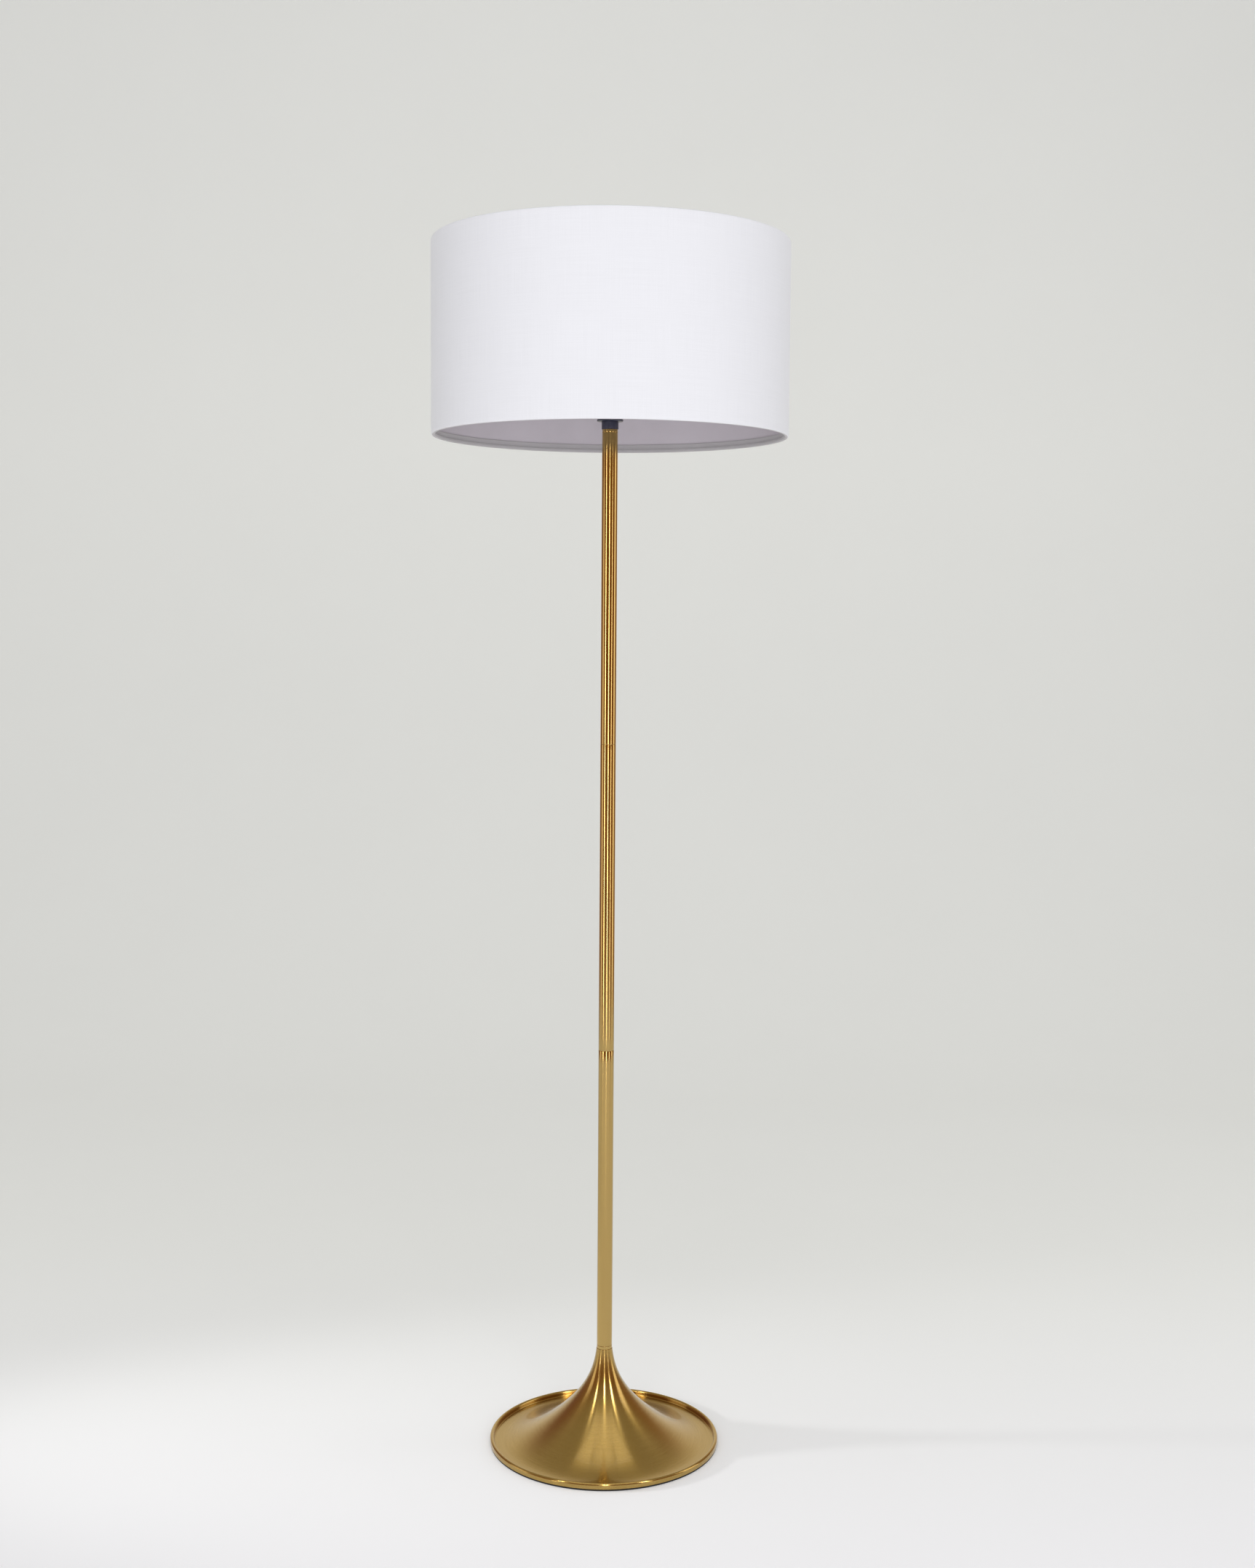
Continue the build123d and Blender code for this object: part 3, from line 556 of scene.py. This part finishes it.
class LAMP_OT_stem(bpy.types.Operator):
    """Three tube sections and the two flush end rings"""

    bl_idname = "lamp.stem"
    bl_label = "Stem"

    def execute(self, context):
        brass = brushed_brass("polished_lacquered_brass_tube", 0.13, 0.8, texture=0.25, relief=0)
        edge = sizes().edge_softness / MM
        for node, name in (
            ("stem_lower", "stem_tube_lower"),
            ("stem_middle", "stem_tube_middle"),
            ("stem_upper", "stem_tube_upper"),
        ):
            self.tube(name, node, brass, edge)
        for node, name in (("stem_foot_bush", "stem_foot_ring"), ("stem_top_bush", "stem_top_ring")):
            self.ring(name, node, brass)
        return {"FINISHED"}

    def tube(self, name, node, brass, edge):
        """One section, its outer edges softened at both ends."""
        low, high = box_mm(node)
        r, bore = high.x, high.x - TUBE_WALL
        outline = [(bore, low.z)] + arc((r - edge, low.z + edge), edge, -90, 0, 5)
        steps = 24
        span = high.z - low.z - 2 * edge
        outline += [(r, low.z + edge + span * n / steps) for n in range(1, steps)]
        outline += arc((r - edge, high.z - edge), edge, 0, 90, 5) + [(bore, high.z)]
        place(lathe(name, outline, brass, segments=128), "stand", "brass_stem", node)

    def ring(self, name, node, brass):
        """Flange of an end bush, with the plug that sits inside the tube."""
        low, high = box_mm(node)
        r, flange, bore, plug, soft = high.x, 4.2, 5.0, 8.45, 0.3
        at_foot = node == "stem_foot_bush"
        bottom = low.z if at_foot else high.z - flange
        face = arc((r - soft, bottom + soft), soft, -90, 0, 4)
        face += arc((r - soft, bottom + flange - soft), soft, 0, 90, 4)
        if at_foot:
            outline = [(bore, bottom)] + face + [(plug, bottom + flange), (plug, high.z), (bore, high.z)]
        else:
            outline = [(bore, low.z), (plug, low.z), (plug, bottom)] + face + [(bore, high.z)]
        place(lathe(name, outline, brass, segments=128), "stand", "brass_stem", node)


# ---- lampholder ----


def thread(crest, depth, pitch, bottom, top):
    """Shape function for a lathe: a rounded screw thread between two heights, in mm."""

    def shape(r, z, angle):
        if abs(r - crest) > 1e-4:
            return r, z
        fade = min(1.0, max(0.0, (z - bottom) / pitch), max(0.0, (top - z) / pitch))
        wave = 0.5 - 0.5 * cos(TURN * (z / pitch - angle / TURN))
        return crest - depth * wave * min(1.0, fade), z

    return shape


class LAMP_OT_lampholder(bpy.types.Operator):
    """Black collar, lampholder halves, core, contacts and terminals"""

    bl_idname = "lamp.lampholder"
    bl_label = "Lampholder"

    def execute(self, context):
        black = moulded("moulded_thermoplastic_black", "#2D2F42", 0.42, 1.54)
        self.neck(black)
        self.cap(black)
        self.sleeve(black)
        white = moulded("moulded_melamine_white", "#E9E8E3", 0.4, 1.6)
        brass = bare_metal("rolled_contact_brass", "#C9A55A", 0.28)
        zinc = bare_metal("zinc_plated_screw_steel", "#B9BDC2", 0.35)
        dress("holder_core", white)
        for node in ("contact_shell", "centre_contact", "holder_terminals"):
            dress(node, brass)
        for node in ("holder_terminal_screws", "holder_nipple"):
            dress(node, zinc)
        return {"FINISHED"}

    def neck(self, black):
        """Plain collar between the stem and the flange."""
        low, high = box_mm("holder_neck")
        outline = soft_corners([(5.0, low.z), (high.x, low.z), (high.x, high.z), (5.0, high.z)], 0.35)
        place(lathe("holder_collar", outline, black, segments=96), "stand", "black_holder", "holder_neck")

    def cap(self, black):
        """Lower half: flange, flared side and shoulder."""
        low, high = box_mm("holder_cap")
        z, r = low.z, high.x
        outline = [(5, z), (16.5, z), (16.5, z + 2.3), (15.6, z + 2.9)]
        outline += [(r - 0.6, z + 13), (r, z + 14), (r, high.z)]
        outline += [(21, high.z), (21, z + 10.2), (19, z + 10.2), (14, z + 3.6), (5, z + 3.6)]
        place(lathe("holder_lower_half", soft_corners(outline, 0.5, 4), black, segments=128),
              "stand", "black_holder", "holder_cap")

    def sleeve(self, black):
        """Upper half, with the outer thread that the clamp ring runs on."""
        low, high = box_mm("holder_sleeve")
        crest, pitch = 19.9, 2.5
        start, end = high.z - 32.0, high.z - 2.0
        outline = [(17.0, low.z), (20.95, low.z), (20.95, low.z + 9.4), (crest, low.z + 9.5)]
        rows = 160
        outline += [(crest, start + (end - start) * n / rows) for n in range(rows + 1)]
        outline += [(crest, high.z - 0.8), (crest - 0.8, high.z), (15.4, high.z), (15.0, high.z - 0.4)]
        outline += [(15.0, low.z + 12.8), (17.0, low.z + 12.8)]
        shape = thread(crest, 0.9, pitch, start, end)
        place(lathe("holder_upper_half", outline, black, segments=96, shape=shape),
              "stand", "black_holder", "holder_sleeve")


# ---- shade frame ----


class LAMP_OT_shade_frame(bpy.types.Operator):
    """Clamp ring, fitter ring, three arms and the two wire rings"""

    bl_idname = "lamp.shade_frame"
    bl_label = "Shade Frame"

    def execute(self, context):
        black = moulded("moulded_ring_black", "#232328", 0.42, 1.54)
        powder = moulded("powder_coated_steel_white", "#E6E6E6", 0.55, 1.5, grain_mm=0.8, depth=0.4)
        self.clamp_ring(black)
        self.fitter(powder)
        for name, node in (("lower_wire_ring", "bottom_wire"), ("upper_wire_ring", "top_wire")):
            self.wire_ring(name, node, powder)
        return {"FINISHED"}

    def clamp_ring(self, black):
        """Flanged ring with grip ribs round its edge."""
        low, high = box_mm("shade_ring")
        r, z, bore, ribs = 29.0, low.z, 20.0, 24
        outline = soft_corners(
            [(bore, z), (r, z), (r, z + 2.8), (23.4, z + 3.4), (22.7, high.z), (bore, high.z)], 0.5, 4
        )

        def grips(radius, height, angle):
            notch = max(0.0, cos(angle * ribs)) ** 2 * 0.9
            return (radius - notch, height) if radius > r - 0.8 else (radius, height)

        place(lathe("clamp_ring", outline, black, segments=ribs * 12, shape=grips),
              "shade_ring", "black_holder", "shade_ring")

    def fitter(self, powder):
        """Centre washer and its three bent arms."""
        low, high = box_mm("fitter_ring")
        outline = soft_corners([(21.2, low.z), (high.y, low.z), (high.y, high.z), (21.2, high.z)], 0.3, 3)
        place(lathe("fitter_washer", outline, powder, segments=96), "shade", "white_wire", "fitter_ring")
        arm_low, arm_high = box_mm("fitter_arms")
        wire, bend = 1.5, 9.0
        outer = arm_high.y - wire
        top = arm_high.z - wire
        path = [(outer, 0, arm_low.z)]
        for step in range(13):
            angle = radians(90 * step / 12)
            path.append((outer - bend + bend * cos(angle), 0, top - bend + bend * sin(angle)))
        path.append((24.0, 0, top))
        for number, angle in enumerate((90, 210, 330)):
            arm = rod(f"fitter_arm_{number + 1}", path, wire, powder)
            arm.data.transform(Matrix.Rotation(radians(angle), 4, "Z"))
            place(arm, "shade", "white_wire", "fitter_arms")

    def wire_ring(self, name, node, powder):
        """Round wire that stiffens one rim of the drum."""
        low, high = box_mm(node)
        wire = (high.z - low.z) / 2
        outline = arc((high.x - wire, (low.z + high.z) / 2), wire, 0, 345, 23)
        place(lathe(name, outline, powder, segments=256), "shade", "white_wire", node)


# ---- shade cloth ----

ROLL_FROM = 4.0

class LAMP_OT_shade_cloth(bpy.types.Operator):
    """Cloth of the drum, rolled over both wires, with its rear seam, and the lining"""

    bl_idname = "lamp.shade_cloth"
    bl_label = "Shade Cloth"

    def execute(self, context):
        cloth = woven_cloth()
        low, high = box_mm("shade_fabric")
        skin = self.drum(low.z, high.z, high.x, cloth)
        seam = self.seam(low.z, high.z, high.x, cloth)
        place(skin, "shade", "shade_cloth", "shade_fabric", "bottom_hem", "top_hem")
        place(seam, "shade", "shade_cloth")
        lining = self.lining()
        place(lining, "shade", "shade_lining", "shade_liner")
        return {"FINISHED"}

    def rolled_edge(self, radius, edge, inward):
        """The cloth from the drum's wall, round the wire and up the lining.
        Inward is +1 at the lower edge and -1 at the upper one."""
        half = sizes().cloth_thickness / MM / 2
        wall = radius - half
        band = sizes().hem_height / MM

        def at(r, z):
            return (r, edge + inward * z)

        under = wall - 2.6
        inmost = wall - 4.9
        over = wall - 3.4
        glued, glued_from = wall - 1.62, 5.8
        path = bezier([at(wall, ROLL_FROM), at(wall, half), at(wall - 1.2, half), at(under, half)], 8)
        path += bezier([at(under, half), at(inmost, half), at(inmost, 2.2)], 6)[1:]
        path += bezier([at(inmost, 2.2), at(inmost, 4.1), at(over, 4.3)], 6)[1:]
        path += bezier([at(over, 4.3), at(wall - 1.7, 4.6), at(glued, glued_from)], 6)[1:]
        path += [at(glued, glued_from + (band - glued_from) * n / 4) for n in range(1, 5)]
        return path

    def drum(self, low, high, radius, cloth):
        """The whole cloth in one sheet, from hem to hem."""
        lower = self.rolled_edge(radius, low, 1)
        upper = self.rolled_edge(radius, high, -1)
        wall = lower[0][0]
        rows = 26
        flat = high - low - 2 * ROLL_FROM
        side = [(wall, low + ROLL_FROM + flat * n / rows) for n in range(1, rows)]
        outline = list(reversed(lower)) + side + upper

        def slack(r, z, angle):
            """Stretched cloth is never quite true: a few tenths of a millimetre, seeded by place."""
            spot = Vector((2.2 * cos(angle), 2.2 * sin(angle), z / 160))
            depth = 0.12 * noise.noise(spot) + 0.05 * noise.noise(spot * 4)
            return r - 0.12 + depth, z

        skin = lathe("shade_drum_cloth", outline, cloth, closed=False, segments=360, shape=slack)
        thick = skin.modifiers.new("cloth thickness", "SOLIDIFY")
        thick.thickness = sizes().cloth_thickness
        thick.offset = 0
        return skin

    def seam(self, low, high, radius, cloth):
        """Lapped strip at the rear where the two ends of the cloth meet."""
        width = sizes().seam_width / MM / radius
        columns, rows = 12, 24
        end_gap, raised, buried, sunk = 1.2, 0.38, 0.25, 0.10
        vertices, faces = [], []
        for layer in (0, 1):
            for row in range(rows + 1):
                z = low + end_gap + (high - low - 2 * end_gap) * row / rows
                for column in range(columns + 1):
                    share = column / columns
                    swell = raised * min(1.0, 4 * share, 4 * (1 - share)) if layer else -buried
                    angle = pi / 2 + width * (share - 0.5)
                    r = radius + swell - sunk
                    vertices.append((r * cos(angle) * MM, r * sin(angle) * MM, z * MM))
        stride = columns + 1
        per_layer = stride * (rows + 1)
        for row in range(rows):
            for column in range(columns):
                a = row * stride + column
                quad = [a, a + 1, a + 1 + stride, a + stride]
                faces.append([v + per_layer for v in reversed(quad)])
                faces.append(quad)
        rim = list(range(columns)) + [columns + r * stride for r in range(rows)]
        rim += [rows * stride + c for c in range(columns, 0, -1)] + [r * stride for r in range(rows, 0, -1)]
        for a, b in zip(rim, rim[1:] + rim[:1]):
            faces.append([a, a + per_layer, b + per_layer, b])
        return new_object("shade_rear_seam", vertices, faces, cloth)

    def lining(self):
        """Stiff sheet that the cloth is stuck to."""
        low, high = box_mm("shade_liner")
        r = high.x - 0.25
        rows = 12
        thick = 0.22
        tall = high.z - low.z
        outline = [(r - thick, low.z + tall * n / rows) for n in range(rows + 1)]
        outline += [(r, high.z - tall * n / rows) for n in range(rows + 1)]
        return lathe("shade_lining_sheet", outline, smooth_lining(), segments=256)


# ---- bulb ----


class LAMP_OT_bulb(bpy.types.Operator):
    """Bulb with an opal globe and a screw cap"""

    bl_idname = "lamp.bulb"
    bl_label = "Bulb"

    def execute(self, context):
        nickel = bare_metal("nickel_plated_brass", "#CFC8B8", 0.25)
        solder = bare_metal("tinned_contact", "#C8C6C0", 0.4)
        dress("bulb_tip", solder)
        dress("bulb_insulator", moulded("black_vitrite_glass", "#08080A", 0.12, 1.52, depth=0.05))
        dress("bulb_led_board", bare_metal("plain_aluminium_board", "#D4D6D8", 0.4))
        self.cap(nickel)
        self.body(moulded("moulded_polybutylene_white", "#EFEFEA", 0.35, 1.55, depth=0.1))
        self.globe(opal_polycarbonate())
        return {"FINISHED"}

    def cap(self, nickel):
        """Screw cap with a rounded thread."""
        low, high = box_mm("bulb_cap")
        crest, pitch, rows = high.x, 3.63, 140
        start, end = low.z + 0.6, high.z - 1.6
        outline = [(9.8, low.z), (10.4, low.z), (12.3, low.z + 1.2)]
        outline += [(crest, start + 0.8 + (end - start - 0.8) * n / rows) for n in range(rows + 1)]
        outline += [(crest, high.z), (11.6, high.z), (11.6, low.z + 1.6)]
        shape = thread(crest, 0.95, pitch, start, end)
        place(lathe("bulb_screw_cap", outline, nickel, segments=96, shape=shape),
              "bulb", "bulb_metal", "bulb_cap")

    def body(self, white):
        """Housing that widens from the cap to the globe."""
        low, high = box_mm("bulb_body")
        r = high.x
        outer = bezier([(13.6, low.z), (14.6, low.z + 12), (23.5, low.z + 14), (r, high.z)], 20)
        inner = bezier([(r - 2, high.z), (21.5, low.z + 14), (12.6, low.z + 12), (11.6, low.z)], 12)
        place(lathe("bulb_housing", outer + inner, white, segments=96), "bulb", "bulb_white", "bulb_body")

    def globe(self, opal):
        """Thin-walled diffuser, open at the housing."""
        low, high = box_mm("bulb_globe")
        z, top = low.z, high.z
        outer = bezier([(28.6, z), (31.2, z + 7), (31.6, z + 26), (27.0, z + 38), (16.0, top), (0, top)], 36)
        inner_top = top - 1.4
        inner_poles = [(0, inner_top), (15.4, inner_top), (25.8, z + 37), (30.2, z + 26)]
        inner = bezier(inner_poles + [(29.8, z + 7), (27.2, z)], 24)
        place(lathe("bulb_opal_globe", outer + inner, opal, segments=128), "bulb", "bulb_opal", "bulb_globe")


# ---- inner works ----


class LAMP_OT_inner_works(bpy.types.Operator):
    """Weight, tie tube, couplers, wiring and terminal block inside the lamp"""

    bl_idname = "lamp.inner_works"
    bl_label = "Inner Works"

    def execute(self, context):
        iron = bare_metal("grey_cast_iron", "#4A4A4C", 0.75, grain_mm=1.2, bump_mm=0.25)
        zinc = bare_metal("zinc_plated_fastener_steel", "#B9BDC2", 0.35)
        vinyl = moulded("extruded_vinyl_black", "#18181A", 0.5, 1.52)
        nylon = moulded("moulded_nylon_white", "#E6E6E0", 0.45, 1.53)
        finishes = {
            iron: ["counterweight"],
            zinc: [
                "tie_tube", "tie_washer", "tie_lock_washer", "tie_nut", "terminal_block_screws",
                "coupler_bush_lower", "coupler_bush_upper", "coupler_nipple_lower", "coupler_nipple_upper",
            ],
            vinyl: ["stem_lead", "lead_cores"],
            nylon: ["terminal_block"],
        }
        for material, nodes in finishes.items():
            for node in nodes:
                dress(node, material)
        return {"FINISHED"}


# ---- stage ----

# Camera: metres and radians
CAMERA_DISTANCE = 2.421
CAMERA_HEIGHT = 1.081
CAMERA_TILT = 0.0866
CAMERA_ROLL = 0.0071
CAMERA_PAN = 0.0104
CAMERA_LENS = 43.47
CAMERA_SENSOR = 36.0

# Paper: a near disc that metal mirrors, and the wide sweep behind it
PAPER_GLOW = 0.22
FLOOR_TONE_Y = (-0.7, 0.9)
FLOOR_PATCH = 2.8
PATCH_DROP = 0.2
SWEEP_DROP = 0.4

# Highlight strips: azimuth, width, and the height under which a window takes over
STRIPS = ((-47, 0.34, 2.02), (2, 0.34, 1.60), (45, 0.34, 1.54))
STRIP_DISTANCE = 3.0
STRIP_GAP = 0.25
STRIP_TOP = 3.2
STRIP_RADIANCE = 21.0

# Windows in the mirrored room: azimuth, width, sine of the top's height, radiance
WINDOWS = ((-47, 6.0, 0.087, 9.0), (2, 5.0, 0.073, 11.0), (45, 5.0, 0.065, 5.0))
WINDOW_SOFTNESS = 1.0
WINDOW_FADE = (0.012, 0.004)

# Soft lights: azimuth, distance, width, height, radiance
KEY_LIGHT = (1, STRIP_DISTANCE, 2.6, 2.4, 2.5)
SIDE_LIGHTS = ((-88, 2.6, 1.0, 1.4, 1.0), (92, 2.8, 1.0, 2.4, 1.5))
TOP_RADIANCE = 0.8
SPOT_POWER = 100
SPOT_AT = (-2.4, -0.05, 0.70)
SPOT_AIM = (0.5, 0, 0)

# Room: even brightness for the eye, and what metal mirrors at each azimuth
ROOM = 0.40
MIRRORED_ROOM = (
    (-180, (0.88, 0.84, 0.74)), (-158, (0.84, 0.79, 0.68)), (-138, (0.26, 0.13, 0.10)),
    (-95, (0.36, 0.22, 0.14)), (-68, (0.31, 0.14, 0.05)), (0, (0.27, 0.12, 0.03)),
    (68, (0.29, 0.13, 0.04)), (95, (0.33, 0.20, 0.11)), (138, (0.36, 0.22, 0.13)),
    (158, (0.86, 0.80, 0.70)), (180, (0.88, 0.84, 0.74)),
)
MIRRORED_CEILING = (0.42, 0.38, 0.31)
CEILING_FADE = (0.40, 0.80)


class LAMP_OT_stage(bpy.types.Operator):
    """Pale floor and wall in one sweep, soft lights and the camera"""

    bl_idname = "lamp.stage"
    bl_label = "Stage"

    def execute(self, context):
        self.sweep()
        self.world()
        for azimuth, width, height in STRIPS:
            low = height + STRIP_GAP
            strip = self.strip_light(azimuth, STRIP_DISTANCE, width, STRIP_TOP - low, STRIP_RADIANCE, low)
            strip.visible_diffuse = False
        key = self.strip_light(*KEY_LIGHT)
        key.visible_glossy = False
        for light in SIDE_LIGHTS:
            self.strip_light(*light)
        self.low_spot()
        self.area_light("top_soft", (0, -0.4, 4.2), (0, 0.3, 0), 3.0, 3.0, TOP_RADIANCE)
        self.camera()
        context.scene.view_settings.view_transform = "Standard"
        return {"FINISHED"}

    def sweep(self):
        """Floor that curves up into the wall. Metal mirrors only the floor near the lamp."""
        half_width, front, rear, bend, height = 9.0, -9.0, 3.4, 1.6, 6.0
        paper = studio_paper()
        profile = [(front, 0.0), (-3.0, 0.0), (0.0, 0.0)]
        profile += [(y + rear - bend, z + bend) for y, z in arc((0, 0), bend, -90, 0, 24)]
        profile.append((rear, height))
        vertices = [(x, y, z) for x in (-half_width, half_width) for y, z in profile]
        count = len(profile)
        faces = [[i, i + count, i + count + 1, i + 1] for i in range(count - 1)]
        wide = new_object("studio_sweep", vertices, faces, paper)
        wide.visible_glossy = False
        patch = [(0, 0), (FLOOR_PATCH / MM, 0)]
        near = lathe("studio_floor_near", patch, paper, closed=False, segments=96)
        near.location.z = -PATCH_DROP * MM
        wide.location.z = -SWEEP_DROP * MM

    def world(self):
        """Even pale room for the eye, with a warmer, darker one for metal to mirror."""
        world = bpy.data.worlds.new("soft_room")
        bpy.context.scene.world = world
        world.use_nodes = True
        tree = world.node_tree
        background = tree.nodes["Background"]
        direction = add(tree, "ShaderNodeTexCoord").outputs["Generated"]
        parts = add(tree, "ShaderNodeSeparateXYZ", i0=direction)
        ahead = add(tree, "ShaderNodeMath", {"operation": "MULTIPLY", 1: -1.0}, i0=parts.outputs["Y"])
        bearing = add(tree, "ShaderNodeMath", {"operation": "ARCTAN2"},
                      i0=parts.outputs["X"], i1=ahead.outputs[0])
        share = add(tree, "ShaderNodeMapRange", {"From Min": -pi, "From Max": pi}, Value=bearing.outputs[0])
        ramp = add(tree, "ShaderNodeValToRGB", Fac=share.outputs[0])
        stops = ramp.color_ramp.elements
        while len(stops) < len(MIRRORED_ROOM):
            stops.new(0.5)
        for stop, (azimuth, colour) in zip(stops, MIRRORED_ROOM):
            stop.position = (azimuth + 180) / 360
            stop.color = (*colour, 1)
        low, high = CEILING_FADE
        rise = add(tree, "ShaderNodeMapRange",
                   {"From Min": low, "From Max": high, "interpolation_type": "SMOOTHSTEP"},
                   Value=parts.outputs["Z"])
        room = add(tree, "ShaderNodeMix", {"data_type": "RGBA", 7: (*MIRRORED_CEILING, 1)},
                   i0=rise.outputs[0], i6=ramp.outputs["Color"])
        for window in WINDOWS:
            room = self.window(tree, room, bearing.outputs[0], parts.outputs["Z"], *window)
        path = add(tree, "ShaderNodeLightPath")
        seen = add(tree, "ShaderNodeMix", {"data_type": "RGBA", 6: (ROOM, ROOM * 1.005, ROOM * 0.99, 1)},
                   i0=path.outputs["Is Glossy Ray"], i7=room.outputs[2])
        tree.links.new(seen.outputs[2], background.inputs["Color"])
        background.inputs["Strength"].default_value = 1.0
        world.cycles.sampling_method = "NONE"

    def window(self, tree, room, bearing, rise, azimuth, width, top, radiance):
        """Tall bright window in the mirrored room, added to what is there."""
        half, soft = radians(width / 2), radians(WINDOW_SOFTNESS)
        offset = add(tree, "ShaderNodeMath", {"operation": "SUBTRACT", 1: radians(azimuth)}, i0=bearing)
        away = add(tree, "ShaderNodeMath", {"operation": "ABSOLUTE"}, i0=offset.outputs[0])
        across = add(tree, "ShaderNodeMapRange",
                     {"From Min": half - soft, "From Max": half + soft, "To Min": radiance, "To Max": 0.0},
                     Value=away.outputs[0])
        bottom_fade, top_fade = WINDOW_FADE
        below = add(tree, "ShaderNodeMapRange",
                    {"From Min": top - bottom_fade, "From Max": top + top_fade, "To Min": 1.0, "To Max": 0.0},
                    Value=rise)
        shine = add(tree, "ShaderNodeMath", {"operation": "MULTIPLY"},
                    i0=across.outputs[0], i1=below.outputs[0])
        return add(tree, "ShaderNodeMix", {"data_type": "RGBA", "blend_type": "ADD", 0: 1.0},
                   i6=room.outputs[2], i7=shine.outputs[0])

    def area_light(self, name, spot, aim, width, height, radiance):
        data = bpy.data.lights.new(name, "AREA")
        data.shape = "RECTANGLE"
        data.size, data.size_y = width, height
        data.energy = radiance * pi * width * height
        light = bpy.data.objects.new(name, data)
        light.location = spot
        light.rotation_mode = "QUATERNION"
        light.rotation_quaternion = (Vector(aim) - Vector(spot)).to_track_quat("-Z", "Y")
        bpy.context.scene.collection.objects.link(light)
        return light

    def strip_light(self, azimuth, distance, width, height, radiance, low=0.0):
        """Tall soft light at an angle from the front, with its lower end at a height."""
        angle = radians(azimuth)
        middle = low + height / 2 + 0.05
        spot = (distance * sin(angle), -distance * cos(angle), middle)
        aim = (0, 0, middle)
        return self.area_light(f"strip_{azimuth}", spot, aim, width, height, radiance)

    def low_spot(self):
        """Soft low lamp from the left that only reaches the floor round the foot."""
        data = bpy.data.lights.new("low_left", "SPOT")
        data.energy = SPOT_POWER
        data.spot_size = radians(30)
        data.spot_blend = 1.0
        data.shadow_soft_size = 0.10
        light = bpy.data.objects.new("low_left", data)
        light.location = SPOT_AT
        light.rotation_mode = "QUATERNION"
        light.rotation_quaternion = (Vector(SPOT_AIM) - light.location).to_track_quat("-Z", "Y")
        light.visible_glossy = False
        bpy.context.scene.collection.objects.link(light)

    def camera(self):
        """Eye-level view from the front, tilted a little down."""
        data = bpy.data.cameras.new("view")
        data.lens = CAMERA_LENS
        data.sensor_width = CAMERA_SENSOR
        camera = bpy.data.objects.new("view", data)
        bpy.context.scene.collection.objects.link(camera)
        tilt, pan, roll = CAMERA_TILT, CAMERA_PAN, CAMERA_ROLL
        forward = Vector((sin(pan) * cos(tilt), cos(pan) * cos(tilt), -sin(tilt)))
        level = Vector((cos(pan), -sin(pan), 0))
        rise = level.cross(forward)
        right = level * cos(roll) + rise * sin(roll)
        up = rise * cos(roll) - level * sin(roll)
        turn = Matrix((right, up, -forward)).transposed()
        camera.rotation_mode = "QUATERNION"
        camera.rotation_quaternion = turn.to_quaternion()
        camera.location = (0, -CAMERA_DISTANCE, CAMERA_HEIGHT)
        bpy.context.scene.camera = camera


# ---- add-on ----

OPERATORS = (
    LAMP_OT_foot,
    LAMP_OT_foot_underside,
    LAMP_OT_stem,
    LAMP_OT_lampholder,
    LAMP_OT_shade_frame,
    LAMP_OT_shade_cloth,
    LAMP_OT_bulb,
    LAMP_OT_inner_works,
    LAMP_OT_stage,
)


class LAMP_PT_panel(bpy.types.Panel):
    """Lamp pieces in the sidebar"""

    bl_label = "Floor Lamp"
    bl_idname = "LAMP_PT_panel"
    bl_space_type = "VIEW_3D"
    bl_region_type = "UI"
    bl_category = "Lamp"

    def draw(self, context):
        for group in (context.scene.lamp_colours, context.scene.lamp_sizes):
            column = self.layout.column(align=True)
            for name in group.__annotations__:
                column.prop(group, name)
        column = self.layout.column(align=True)
        for operator in OPERATORS:
            column.operator(operator.bl_idname)


CLASSES = (LampColours, LampSizes, *OPERATORS, LAMP_PT_panel)


def register():
    for cls in CLASSES:
        bpy.utils.register_class(cls)
    bpy.types.Scene.lamp_colours = bpy.props.PointerProperty(type=LampColours)
    bpy.types.Scene.lamp_sizes = bpy.props.PointerProperty(type=LampSizes)


def unregister():
    del bpy.types.Scene.lamp_sizes
    del bpy.types.Scene.lamp_colours
    for cls in reversed(CLASSES):
        bpy.utils.unregister_class(cls)


def main():
    register()
    for operator in OPERATORS:
        group, name = operator.bl_idname.split(".")
        getattr(getattr(bpy.ops, group), name)()
    bpy.context.view_layer.update()


if __name__ == "__main__":
    main()
